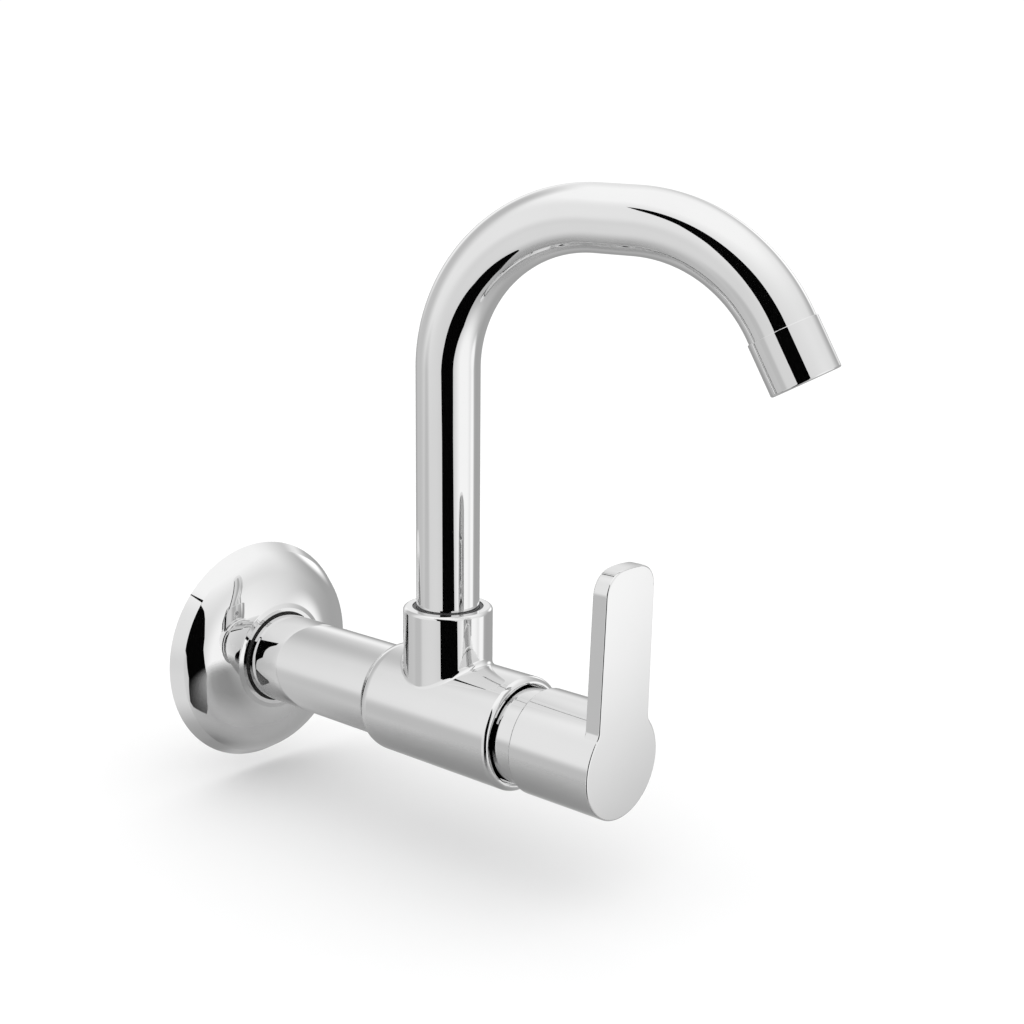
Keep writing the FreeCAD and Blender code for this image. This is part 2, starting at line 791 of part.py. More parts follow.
def make_lever_root():
    """Hollow rounding between the hub and the lever's back, ended square inside the lever's sides."""
    top = leaning_height(Vector(0, hub_radius + lever_back_blend, 0), lever_thickness)
    low = top - lever_back_blend
    bend = lever_back_blend * (1 - math.cos(math.pi / 4))
    foot = Vector(hub_radius, 0, low)
    tip = Vector(hub_radius + lever_back_blend, 0, top)
    bite = hub_radius - joined_overlap
    corners = [tip, Vector(tip.x, 0, top + joined_overlap), Vector(bite, 0, top + joined_overlap),
               Vector(bite, 0, low), foot]
    edges = [Part.Arc(foot, Vector(hub_radius + bend, 0, top - bend), tip).toShape()]
    for start, end in zip(corners, corners[1:]):
        edges.append(Part.LineSegment(start, end).toShape())
    ring = outward(Part.Face(Part.Wire(edges)).revolve(Vector(0, 0, 0), Vector(0, 0, 1), 360))
    half_width = lever_base_width / 2 - lever_edge_round - lever_back_blend
    return ring.common(Part.makeBox(
        2 * half_width, 2 * hub_radius, 4 * lever_back_blend, Vector(-half_width, 0, low - overcut)))


def downward_rod(radius, start, end):
    """Round bar across the hub, towards its underside, at the grub screw's place."""
    return Part.makeCylinder(radius, end - start, Vector(0, -start, handle_screw_place), Vector(0, -1, 0))


def make_handle():
    """Hub and lever cast as one: keyhole front in one leaning plane, hollow hub with a ribbed core."""
    hub = turned([(0, hub_back), (hub_radius, hub_back, hub_back_round),
                  (hub_radius, hub_back + 2 * hub_length), (0, hub_back + 2 * hub_length)])
    hub = hub.cut(leaning_slab(-lever_thickness / 2, 3 * hub_length))
    handle = hub.fuse(make_keyhole_plate()).fuse(make_lever_root()).removeSplitter()
    mouth_radius = neck_ring_radius + neck_to_hub_gap
    cavity_end = face_centre - hub_front_wall
    cavity = turned([
        (0, hub_back - overcut),
        (mouth_radius, hub_back - overcut),
        (mouth_radius, hub_back + hub_mouth_depth),
        (hub_radius - hub_wall, hub_back + hub_mouth_depth),
        (hub_radius - hub_wall, cavity_end, hub_floor_round),
        (hub_core_radius, cavity_end, hub_floor_round),
        (hub_core_radius, core_back),
        (0, core_back),
    ])
    handle = handle.cut(cavity)
    rib_width = hub_radius - hub_wall - hub_core_radius + 2 * joined_overlap
    for number in range(hub_rib_count):
        rib = Part.makeBox(
            rib_width, hub_rib_thickness, hub_rib_depth + joined_overlap,
            Vector(hub_core_radius - joined_overlap, -hub_rib_thickness / 2, cavity_end - hub_rib_depth))
        handle = handle.fuse(spun(rib, hub_rib_start + 360 / hub_rib_count * number))
    handle = handle.cut(rod(handle_insert_radius, core_back - overcut, core_back + handle_insert_length))
    key_hole = downward_rod(screw_cover_radius, hub_core_radius, hub_core_radius + hub_radius)
    thread_hole = downward_rod(handle_screw_radius + thread_clearance, 0, hub_core_radius)
    return handle.cut(key_hole).cut(thread_hole).removeSplitter()


def make_handle_insert():
    """Splined bush pressed into the hub's core."""
    outer = handle_insert_radius - seating_clearance
    bush = rod(outer, core_back, core_back + handle_insert_length - seating_clearance)
    bore = prism(spline_points(spline_radius + seating_clearance, spline_tooth_depth),
                 core_back - overcut, core_back + handle_insert_length + overcut)
    return bush.cut(bore).cut(downward_rod(
        handle_screw_radius + screw_hole_clearance, 0, 2 * handle_insert_radius))


def socket_screw(radius, length, key_flats, dog_radius=0, dog_length=0):
    """Headless screw along Z with its tip at the origin and a hexagon socket at the other end."""
    corners = [(0, 0), (radius, 0, turned_edge), (radius, length, turned_edge), (0, length)]
    if dog_length > 0:
        corners = [(0, 0), (dog_radius, 0, fine_edge), (dog_radius, dog_length),
                   (radius, dog_length), (radius, length, turned_edge), (0, length)]
    screw = turned(corners)
    return screw.cut(prism(hexagon(key_flats), length - key_flats, length + overcut))


def make_handle_grub_screw():
    screw = socket_screw(handle_screw_radius, handle_screw_length, handle_screw_key_flats)
    screw.translate(Vector(0, 0, handle_screw_seat + handle_screw_tip_gap))
    screw.rotate(Vector(0, 0, 0), Vector(1, 0, 0), 90)
    screw.translate(Vector(0, 0, handle_screw_place))
    return screw


def make_screw_cover():
    """Small plug in the hub's wall whose face follows the hub, just below its surface."""
    plug = downward_rod(screw_cover_radius - seating_clearance, 0, hub_radius)
    shell = tube_ring(
        hub_radius - hub_wall, hub_radius - screw_cover_inset,
        handle_screw_place - 2 * screw_cover_radius, handle_screw_place + 2 * screw_cover_radius)
    return plug.common(shell)


def spout_route(start_height):
    """Middle line of the tube in the XZ plane: riser, first bend, crown, second bend, outlet."""
    first = math.radians(first_bend_angle)
    both = math.radians(first_bend_angle + second_bend_angle)
    start = Vector(0, 0, start_height)
    riser_top = Vector(0, 0, riser_height)
    first_centre = riser_top + Vector(first_bend_radius, 0, 0)

    def on_first(angle):
        return first_centre + Vector(-math.cos(angle), 0, math.sin(angle)) * first_bend_radius

    crown_start = on_first(first)
    crown_way = Vector(math.sin(first), 0, math.cos(first))
    crown_end = crown_start + crown_way * crown_length
    second_centre = crown_end + Vector(math.cos(first), 0, -math.sin(first)) * second_bend_radius

    def on_second(angle):
        return second_centre + Vector(-math.cos(angle), 0, math.sin(angle)) * second_bend_radius

    outlet_start = on_second(both)
    outlet_way = Vector(math.sin(both), 0, math.cos(both))
    outlet_end = outlet_start + outlet_way * outlet_length
    edges = [
        Part.LineSegment(start, riser_top).toShape(),
        Part.Arc(riser_top, on_first(first / 2), crown_start).toShape(),
        Part.LineSegment(crown_start, crown_end).toShape(),
        Part.Arc(crown_end, on_second((first + both) / 2), outlet_start).toShape(),
        Part.LineSegment(outlet_start, outlet_end).toShape(),
    ]
    return Part.Wire(edges), outlet_end


def swung(shape):
    """Turns a piece drawn in the XZ plane of the spout to where the spout stands at rest."""
    placed = shape.copy()
    placed.rotate(Vector(0, 0, 0), Vector(0, 0, 1), spout_turn - 90)
    placed.translate(Vector(0, -boss_axis, 0))
    return placed


def at_outlet(shape):
    """Puts a piece drawn along Z at the spout's end, with its Z pointing the way the water leaves."""
    end = spout_route(bush_top)[1]
    placed = shape.copy()
    placed.rotate(Vector(0, 0, 0), Vector(0, 1, 0), first_bend_angle + second_bend_angle)
    placed.translate(end)
    return swung(placed)


def make_spout_tube():
    route = spout_route(bush_top)[0]
    solids = []
    for radius in (tube_radius, tube_bore_radius):
        section = Part.Wire([Part.makeCircle(radius, Vector(0, 0, bush_top), Vector(0, 0, 1))])
        solids.append(outward(route.makePipeShell([section], True, False)))
    return swung(solids[0].cut(solids[1]))


def make_spout_bush():
    """Turned bush brazed in the tube's foot: two seal grooves, and one between for the screw."""
    floor = tube_radius - 2 * bush_seal_section - seating_clearance
    half = bush_seal_section + seal_groove_slack
    lower = bush_seal_lower
    upper = bush_seal_upper
    waist = tube_radius - bush_groove_depth
    waist_low = bush_groove_middle - bush_groove_width / 2
    waist_high = bush_groove_middle + bush_groove_width / 2
    spigot = tube_bore_radius - seating_clearance
    corners = [(bush_bore_radius, bush_bottom), (tube_radius, bush_bottom, turned_edge)]
    for depth_radius, low, high in (
            (floor, lower - half, lower + half), (waist, waist_low, waist_high),
            (floor, upper - half, upper + half)):
        corners += [(tube_radius, low), (depth_radius, low), (depth_radius, high), (tube_radius, high)]
    return over_socket(turned(corners + [
        (tube_radius, bush_top),
        (spigot, bush_top),
        (spigot, bush_top + bush_spigot_length, turned_edge),
        (bush_bore_radius, bush_top + bush_spigot_length),
    ]))


def make_spout_seal(middle):
    inner = tube_radius - 2 * bush_seal_section
    return over_socket(rubber_ring(inner, bush_seal_section - seating_clearance / 2, middle))


def make_spout_thrust_washer():
    return over_socket(tube_ring(
        socket_port_radius, tube_radius, socket_floor, socket_floor + socket_washer_thickness))


def make_spout_slip_ring():
    """Acetal ring that guides the tube in the socket's mouth."""
    return over_socket(tube_ring(
        tube_radius + running_clearance, tube_radius + slip_ring_wall - seating_clearance,
        slip_ring_bottom, boss_height - slip_ring_recess, fine_edge))


def make_spout_grub_screw():
    tip = tube_radius - bush_groove_depth + spout_screw_tip_gap
    length = boss_radius - spout_screw_recess - tip
    screw = socket_screw(
        spout_screw_radius, length, spout_screw_key_flats, spout_screw_dog_radius, spout_screw_dog_length)
    screw.rotate(Vector(0, 0, 0), Vector(1, 0, 0), -90)
    screw.translate(Vector(0, tip - boss_axis, bush_groove_middle))
    return screw


def make_outlet_nipple():
    """Ferrule brazed in the tube's end, whose thread carries the cap."""
    spigot = tube_bore_radius - seating_clearance
    spigot_length = outlet_length - nipple_bend_gap
    return at_outlet(turned([
        (nipple_bore_radius, -spigot_length),
        (spigot, -spigot_length, turned_edge),
        (spigot, 0),
        (nipple_thread_radius, 0),
        (nipple_thread_radius, gasket_back, turned_edge),
        (nipple_bore_radius, gasket_back),
    ]))


def make_aerator_gasket():
    return at_outlet(tube_ring(
        aerator_body_radius - aerator_wall, aerator_flange_radius, gasket_back, aerator_back))


def make_aerator_insert():
    """Plastic outlet: flanged sleeve with a grid of one ring and straight spokes near its mouth."""
    inside = aerator_body_radius - aerator_wall
    insert = turned([
        (inside, aerator_back),
        (aerator_flange_radius, aerator_back),
        (aerator_flange_radius, aerator_ledge),
        (aerator_body_radius, aerator_ledge),
        (aerator_body_radius, aerator_end),
        (inside, aerator_end),
    ])
    grid_low = aerator_end - aerator_grid_thickness
    ring = tube_ring(
        aerator_grid_ring_radius - aerator_grid_bar, aerator_grid_ring_radius, grid_low, aerator_end)
    hub = rod(2 * aerator_grid_bar, grid_low, aerator_end)
    grid = hub.fuse(ring)
    for number in range(aerator_grid_spokes):
        start = 0 if number % 2 == 0 else aerator_grid_ring_radius - aerator_grid_bar / 2
        spoke = Part.makeBox(inside + aerator_wall / 2 - start, aerator_grid_bar, aerator_grid_thickness,
                             Vector(start, -aerator_grid_bar / 2, grid_low))
        grid = grid.fuse(spun(spoke, 360 / aerator_grid_spokes * number))
    return at_outlet(insert.fuse(grid).removeSplitter())


def make_aerator_diffuser():
    """Perforated plate dropped into the gasket, on the insert's flange."""
    plate_radius = aerator_body_radius - aerator_wall - seating_clearance
    low = aerator_back - diffuser_thickness / 2
    plate = rod(plate_radius, low, low + diffuser_thickness)
    for number in range(diffuser_hole_count):
        angle = 2 * math.pi / diffuser_hole_count * number
        hole = rod(diffuser_hole_radius, low - overcut, low + diffuser_thickness + overcut)
        hole.translate(Vector(math.cos(angle), math.sin(angle), 0) * diffuser_hole_circle)
        plate = plate.cut(hole)
    return at_outlet(plate)


def make_aerator_screen():
    """Gauze disc behind the insert's grid."""
    high = aerator_end - aerator_grid_thickness
    radius = aerator_body_radius - aerator_wall - seating_clearance
    return at_outlet(rod(radius, high - screen_thickness, high))


def make_aerator_cap():
    """Chromed cap: mouth over the tube's end, thread on the nipple, inner lip under the insert."""
    thread = nipple_thread_radius + thread_clearance
    return at_outlet(turned([
        (tube_radius + seating_clearance, -cap_overlap),
        (cap_radius, -cap_overlap, cap_seam_round),
        (cap_radius, cap_mouth, cap_edge_round),
        (aerator_body_radius + seating_clearance, cap_mouth, turned_edge),
        (aerator_body_radius + seating_clearance, aerator_ledge),
        (thread, aerator_ledge),
        (thread, 0),
        (tube_radius + seating_clearance, 0),
    ]))


pieces = {
    "wall_flange": out_of_wall(make_flange()),
    "flange_seal": out_of_wall(make_flange_seal()),
    "inlet_leg": out_of_wall(make_inlet_leg()),
    "inlet_leg_seal": out_of_wall(make_inlet_leg_seal()),
    "valve_body": make_valve_body(),
    "seat_seal": out_of_wall(make_seat_seal()),
    "fixed_disc": out_of_wall(make_fixed_disc()),
    "moving_disc": out_of_wall(make_moving_disc()),
    "headwork_body": out_of_wall(make_headwork_body()),
    "headwork_washer": out_of_wall(make_headwork_washer()),
    "spindle": out_of_wall(make_spindle()),
    "spindle_seal_inner": out_of_wall(make_spindle_seal(0)),
    "spindle_seal_outer": out_of_wall(make_spindle_seal(1)),
    "spindle_thrust_washer": out_of_wall(make_spindle_thrust_washer()),
    "spindle_clip": out_of_wall(make_spindle_clip()),
    "neck_ring": out_of_wall(make_neck_ring()),
    "handle": out_of_wall(make_handle()),
    "handle_insert": out_of_wall(make_handle_insert()),
    "handle_grub_screw": out_of_wall(make_handle_grub_screw()),
    "screw_cover": out_of_wall(make_screw_cover()),
    "spout_tube": make_spout_tube(),
    "spout_bush": make_spout_bush(),
    "spout_seal_lower": make_spout_seal(bush_seal_lower),
    "spout_seal_upper": make_spout_seal(bush_seal_upper),
    "spout_thrust_washer": make_spout_thrust_washer(),
    "spout_slip_ring": make_spout_slip_ring(),
    "spout_grub_screw": make_spout_grub_screw(),
    "outlet_nipple": make_outlet_nipple(),
    "aerator_cap": make_aerator_cap(),
    "aerator_gasket": make_aerator_gasket(),
    "aerator_diffuser": make_aerator_diffuser(),
    "aerator_screen": make_aerator_screen(),
    "aerator_insert": make_aerator_insert(),
}

os.makedirs("parts", exist_ok=True)
for name, shape in pieces.items():
    shape.exportStep("parts/" + name + ".step")
    box = shape.BoundBox
    print(name, "solids", len(shape.Solids), "valid", shape.isValid(), "volume", round(shape.Volume, 1),
          "x", round(box.XMin, 1), round(box.XMax, 1), "y", round(box.YMin, 1), round(box.YMax, 1),
          "z", round(box.ZMin, 1), round(box.ZMax, 1))
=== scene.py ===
import json
import math

import bmesh
import bpy
import numpy as np
from mathutils import Matrix, Vector


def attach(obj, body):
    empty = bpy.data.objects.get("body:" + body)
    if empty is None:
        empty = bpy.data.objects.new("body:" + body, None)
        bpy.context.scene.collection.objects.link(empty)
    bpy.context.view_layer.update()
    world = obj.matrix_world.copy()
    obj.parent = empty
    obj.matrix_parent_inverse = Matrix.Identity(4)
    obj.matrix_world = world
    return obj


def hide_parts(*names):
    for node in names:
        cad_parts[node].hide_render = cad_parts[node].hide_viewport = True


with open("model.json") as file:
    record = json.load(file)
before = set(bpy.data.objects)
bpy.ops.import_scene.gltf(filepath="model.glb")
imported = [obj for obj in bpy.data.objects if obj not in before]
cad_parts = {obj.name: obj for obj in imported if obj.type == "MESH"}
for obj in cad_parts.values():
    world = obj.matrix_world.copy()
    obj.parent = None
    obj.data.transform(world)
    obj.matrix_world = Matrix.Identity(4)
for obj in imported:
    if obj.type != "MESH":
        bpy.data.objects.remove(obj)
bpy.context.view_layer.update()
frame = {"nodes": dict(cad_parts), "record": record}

# A wall sink tap in bright chrome, seen from its left front against plain white.
# Metres, in the frame of the construction: +Z up, -Y out of the wall, origin on the wall at the
# tap's axis. "Out" is the distance from the wall, which is -Y.
mm = 0.001

# The photograph's camera.
picture_width = 1024
focal_pixels = 1517.05
sensor_width = 36.0
camera_turn = math.radians(-48.444)
camera_height = math.radians(12.409)
camera_roll = math.radians(0.573)
camera_distance = 537.068 * mm
camera_right = 89.459 * mm
camera_up = 48.184 * mm
camera_near = 10 * mm
camera_far = 50.0

# Sizes of the chromed pieces, as in the construction.
leg_radius = 15.0 * mm
leg_back = 2.0 * mm
leg_front = 69.2 * mm
leg_edge_round = 0.25 * mm
body_radius = 17.7 * mm
shoulder_start_radius = 15.7 * mm
shoulder_length = 5.0 * mm
body_rim_round = 1.8 * mm
body_front = 125.0 * mm
recess_radius = 15.3 * mm
boss_out = 92.8 * mm
boss_radius = 13.9 * mm
boss_height = 34.0 * mm
boss_rim_round = 1.2 * mm
boss_blend = 1.8 * mm
neck_ring_radius = 14.7 * mm
hub_radius = 16.17 * mm
hub_back = 132.2 * mm
hub_back_round = 0.9 * mm
face_out = 161.93 * mm
face_lean = math.radians(1.63)
lever_thickness = 5.2 * mm
lever_base_width = 23.0 * mm
lever_tip_width = 21.4 * mm
lever_reach = 59.0 * mm
lever_crown = 1.5 * mm
lever_corner = 7.2 * mm
lever_root_blend = 3.5 * mm
tube_radius = 9.75 * mm
tube_wall = 1.2 * mm
tube_foot = 30.85 * mm
riser_height = 107.8 * mm
first_bend_radius = 45.0 * mm
first_bend_angle = math.radians(92.6)
crown_length = 11.8 * mm
second_bend_radius = 50.25 * mm
second_bend_angle = math.radians(59.5)
outlet_length = 2.45 * mm
spout_turn = math.radians(16.0)
cap_radius = 10.2 * mm
cap_overlap = 1.0 * mm
cap_mouth = 14.5 * mm
cap_seam_round = 0.2 * mm
cap_edge_round = 0.6 * mm
nipple_thread_radius = 9.35 * mm
aerator_body_radius = 7.95 * mm
aerator_ledge = 10.0 * mm
aerator_end = 14.1 * mm
aerator_grid_thickness = 2.2 * mm
screen_thickness = 0.3 * mm
gauze_radius = 6.9 * mm
gauze_spacing = 0.45 * mm
gauze_wire_radius = 0.075 * mm
gauze_wire_sides = 6
# In wire radii: from one layer's middle to the other's, and the lower layer's depth in its screen.
gauze_layer_step = 1.9
gauze_sink = 0.95
turned_edge = 0.3 * mm
seating_clearance = 0.02 * mm
thread_clearance = 0.05 * mm
flange_radius = 38.2 * mm
flange_rim_radius = 35.7 * mm
flange_rim_depth = 4.4 * mm
flange_rim_round = 0.6 * mm
flange_shoulder_radius = 28.2 * mm
flange_shoulder_depth = 9.6 * mm
flange_wall = 1.4 * mm
flange_dome_bulge = 0.25 * mm
flange_collar_radius = 18.4 * mm
flange_collar_start = 11.95 * mm
flange_collar_blend = 2.5 * mm
flange_collar_height = 0.55 * mm
flange_lip_wall = 1.2 * mm
flange_lip_round_share = 0.4
flange_seal_wall = 0.75 * mm
tail_radius = 10.4775 * mm
tail_length = 13.0 * mm
tail_edge_round = 0.3 * mm
thread_pitch = 1.814 * mm
thread_depth = 1.162 * mm
thread_sink = 0.2 * mm
thread_end_gap = 0.5 * mm
thread_run_out_turns = 0.6
# Half of the thread's foot as a share of its pitch: under a half, so that its turns don't touch.
thread_foot_share = 0.48
waterway_radius = 6.5 * mm
spigot_radius = 10.9 * mm
spigot_length = 10.5 * mm
spigot_groove_start = 3.2 * mm
spigot_groove_width = 2.1 * mm
spigot_groove_radius = 9.13 * mm
neck_ring_wall = 1.5 * mm
neck_ring_back = 117.52 * mm
neck_ring_front = 133.3 * mm
neck_ring_edge_round = 0.4 * mm
neck_web_back = 124.55 * mm
neck_ring_web = 3.0 * mm
neck_web_bore = 8.45 * mm

# How meshes are cut up and joined. A face lies on a true surface when its corners are within
# match_distance of it and its normal is within match_angle of the surface's.
merge_distance = 0.002 * mm
match_distance = 0.03 * mm
match_angle = math.radians(25)
crease_angle = math.radians(32)
tube_sides = 144
bend_step = math.radians(1.5)
turned_sides = 180
round_step = math.radians(6)
thread_sides = 48
floor_sides = 96
spine_points = 4000
places_at_once = 2000
smallest_length = 1e-9

# Floor and light. Mirrors see the room divided by the chrome's own brightness.
floor_height = -42.5 * mm
floor_radius = 12.0
floor_grey = 0.90
floor_cloud_scale = 1.5
floor_cloud_change = 0.004
# Mirrors see the floor, with its painted shade, only within this disc round the tap.
near_floor_middle = (0, -100 * mm, floor_height)
near_floor_radius = 72 * mm
near_floor_fade = 46 * mm
backdrop_light = 1.05
fill_light = 1.28
chrome_brightness = 0.80
brightest_grey = 1.2
display_gamma = 2.2
# Between these a soft noise goes from its dark to its light end.
noise_dark = 0.3
noise_light = 0.7


def room_way(azimuth, elevation):
    """Unit vector: azimuth 0 is straight out of the wall and grows to the right, elevation 0 is level."""
    return Vector((math.sin(azimuth) * math.cos(elevation), -math.cos(azimuth) * math.cos(elevation),
                   math.sin(elevation)))


def make_camera():
    """Camera at the photograph's viewing angle, solved from the round outlines of the tap."""
    back = room_way(camera_turn, camera_height)
    level = Vector((math.cos(camera_turn), math.sin(camera_turn), 0))
    upright = back.cross(level)
    right = math.cos(camera_roll) * level + math.sin(camera_roll) * upright
    up = -math.sin(camera_roll) * level + math.cos(camera_roll) * upright
    data = bpy.data.cameras.new("camera")
    data.sensor_width = sensor_width
    data.lens = focal_pixels * sensor_width / picture_width
    data.clip_start = camera_near
    data.clip_end = camera_far
    camera = bpy.data.objects.new("camera", data)
    bpy.context.scene.collection.objects.link(camera)
    place = right * camera_right + up * camera_up + back * camera_distance
    turn = Matrix((right, up, back)).transposed().to_4x4()
    camera.matrix_world = Matrix.Translation(place) @ turn
    bpy.context.scene.camera = camera


def add_object(name, mesh):
    thing = bpy.data.objects.new(name, mesh)
    bpy.context.scene.collection.objects.link(thing)
    return thing


def shade_smooth(mesh):
    mesh.polygons.foreach_set("use_smooth", [True] * len(mesh.polygons))


body_of_node = {
    node: body for body, nodes in frame["record"]["behaviour"]["bodies"].items() for node in nodes}
slot_of_node = {part["node"]: part["material_slot"] for part in frame["record"]["subparts"]}


def stand_for(piece, node):
    """The piece takes the node's place, on the node's body."""
    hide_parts(node)
    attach(piece, body_of_node[node])
    return piece


# True surfaces: each takes an array of places and gives their distances from it and its normals.
out_of_wall = np.array((0.0, -1.0, 0.0))
upward = np.array((0.0, 0.0, 1.0))
tap_origin = np.zeros(3)
boss_origin = np.array((0.0, -boss_out, 0.0))


def with_lengths(vectors):
    """The lengths of an array of vectors, and the vectors at unit length."""
    lengths = np.maximum(np.linalg.norm(vectors, axis=1), smallest_length)
    return lengths, vectors / lengths[:, None]


def round_wall(origin, axis, radius, facing=1):
    """Wall of a rod, or of a bore where facing is -1."""
    def surface(places):
        offset = places - origin
        length, outward = with_lengths(offset - np.outer(offset @ axis, axis))
        return length - radius, facing * outward
    return surface


def flat_wall(origin, normal):
    """Flat face through a point, with its outward normal at any length."""
    normal = np.array(normal) / np.linalg.norm(normal)

    def surface(places):
        return (places - origin) @ normal, np.tile(normal, (len(places), 1))
    return surface


def turned_round(origin, axis, ring_radius, ring_height, radius):
    """Part of a ring whose round section has its middle at ring_radius and ring_height."""
    def surface(places):
        offset = places - origin
        along = offset @ axis
        length, outward = with_lengths(offset - np.outer(along, axis))
        from_ring = (length - ring_radius)[:, None] * outward + (along - ring_height)[:, None] * axis
        reach, way = with_lengths(from_ring)
        return reach - radius, way
    return surface


def rolled_blend(spine, radius):
    """Hollow left by a ball rolled along the points of a spine."""
    def surface(places):
        nearest = np.empty((len(places), 3))
        for start in range(0, len(places), places_at_once):
            part = places[start:start + places_at_once]
            gaps = ((part[:, None, :] - spine[None, :, :]) ** 2).sum(axis=2)
            nearest[start:start + places_at_once] = spine[gaps.argmin(axis=1)]
        reach, towards = with_lengths(nearest - places)
        return reach - radius, towards
    return surface


def merged_copy(node):
    """The node's triangles as a fresh mesh with its doubles merged."""
    work = bmesh.new()
    work.from_mesh(frame["nodes"][node].data)
    bmesh.ops.remove_doubles(work, verts=work.verts, dist=merge_distance)
    bmesh.ops.dissolve_degenerate(work, edges=work.edges, dist=merge_distance)
    work.verts.index_update()
    points = [tuple(vertex.co) for vertex in work.verts]
    faces = [[vertex.index for vertex in face.verts] for face in work.faces]
    work.free()
    mesh = bpy.data.meshes.new(node + "_skin")
    mesh.from_pydata(points, [], faces)
    shade_smooth(mesh)
    mesh.set_sharp_from_angle(angle=crease_angle)
    mesh.update()
    return mesh


def read_vectors(items, name):
    values = np.empty(len(items) * 3, np.float32)
    items.foreach_get(name, values)
    return values.reshape(-1, 3).astype(float)


def read_counts(items, name):
    values = np.empty(len(items), np.int32)
    items.foreach_get(name, values)
    return values


def take_true_normals(mesh, surfaces):
    """Each corner takes the normal of the true surface that its face lies on."""
    normals = read_vectors(mesh.corner_normals, "vector")
    face_normals = read_vectors(mesh.polygons, "normal")
    face_of = np.repeat(np.arange(len(mesh.polygons)), read_counts(mesh.polygons, "loop_total"))
    corner_places = read_vectors(mesh.vertices, "co")[read_counts(mesh.loops, "vertex_index")]
    best = np.full(len(mesh.polygons), math.cos(match_angle))
    for surface in surfaces:
        distances, true_normals = surface(corner_places)
        off = np.zeros(len(mesh.polygons))
        np.maximum.at(off, face_of, np.abs(distances))
        agreement = np.full(len(mesh.polygons), 1.0)
        np.minimum.at(agreement, face_of, (true_normals * face_normals[face_of]).sum(axis=1))
        fits = (off < match_distance) & (agreement > best)
        best[fits] = agreement[fits]
        chosen = fits[face_of]
        normals[chosen] = true_normals[chosen]
    mesh.normals_split_custom_set(normals.tolist())


def skin_of(node, surfaces):
    """A piece that stands for a node: its merged mesh with the true surfaces' normals."""
    mesh = merged_copy(node)
    take_true_normals(mesh, surfaces)
    return stand_for(add_object(node + "_skin", mesh), node)


def make_valve_body():
    """Body with a round shoulder at the back, and a boss that meets it in a rolled blend."""
    rise = body_radius - shoulder_start_radius
    shoulder_radius = (shoulder_length ** 2 + rise ** 2) / (2 * rise)
    turns = np.linspace(0, 2 * math.pi, spine_points)
    across = (boss_radius + boss_blend) * np.cos(turns)
    spine = np.stack([
        across,
        -boss_out - (boss_radius + boss_blend) * np.sin(turns),
        np.sqrt((body_radius + boss_blend) ** 2 - across ** 2)], axis=1)
    return skin_of("valve_body", [
        round_wall(tap_origin, out_of_wall, body_radius),
        turned_round(tap_origin, out_of_wall, body_radius - shoulder_radius,
                     leg_front + shoulder_length, shoulder_radius),
        turned_round(tap_origin, out_of_wall, body_radius - body_rim_round,
                     body_front - body_rim_round, body_rim_round),
        flat_wall((0, -body_front, 0), out_of_wall),
        flat_wall((0, -leg_front, 0), -out_of_wall),
        round_wall(tap_origin, out_of_wall, recess_radius, -1),
        round_wall(boss_origin, upward, boss_radius),
        turned_round(boss_origin, upward, boss_radius - boss_rim_round,
                     boss_height - boss_rim_round, boss_rim_round),
        flat_wall((0, -boss_out, boss_height), upward),
        rolled_blend(spine, boss_blend),
    ])


def at_reach(start, way, reach):
    """Point ahead of start along the way whose distance from the origin is the reach."""
    back = start.dot(way)
    return start + way * (math.sqrt(back ** 2 - start.dot(start) + reach ** 2) - back)


def make_handle():
    """Handle: its front and back lean, and its outline is made of round and straight walls.

    Seen from the front, the lever's sides lean in from foot to tip. A hollow blend joins each side
    to the hub, and a corner joins it to the crown at the tip; both touch the side and the round wall.
    """
    foot = lever_base_width / 2
    tip = lever_tip_width / 2
    side = Vector((tip - foot, lever_reach)).normalized()
    normal = Vector((side.y, -side.x))
    blend_centre = at_reach(Vector((foot, 0)) + normal * lever_root_blend, side,
                            hub_radius + lever_root_blend)
    crown_radius = (tip ** 2 + lever_crown ** 2) / (2 * lever_crown)
    crown_centre = Vector((0, lever_reach - crown_radius))
    inside = Vector((foot, 0)) - normal * lever_corner - crown_centre
    corner_centre = crown_centre + at_reach(inside, side, crown_radius - lever_corner)
    lean = np.array((0, -math.cos(face_lean), -math.sin(face_lean)))
    face_centre = np.array((0, -face_out, 0))
    surfaces = [
        flat_wall(face_centre, lean),
        flat_wall(face_centre - lever_thickness * lean, -lean),
        round_wall(tap_origin, out_of_wall, hub_radius),
        turned_round(tap_origin, out_of_wall, hub_radius - hub_back_round, hub_back + hub_back_round,
                     hub_back_round),
        round_wall(np.array((0, 0, crown_centre.y)), out_of_wall, crown_radius),
    ]
    for flip in (1, -1):
        surfaces += [
            flat_wall(np.array((flip * foot, 0, 0)), (flip * normal.x, 0, normal.y)),
            round_wall(np.array((flip * blend_centre.x, 0, blend_centre.y)), out_of_wall,
                       lever_root_blend, -1),
            round_wall(np.array((flip * corner_centre.x, 0, corner_centre.y)), out_of_wall, lever_corner),
        ]
    return skin_of("handle", surfaces)


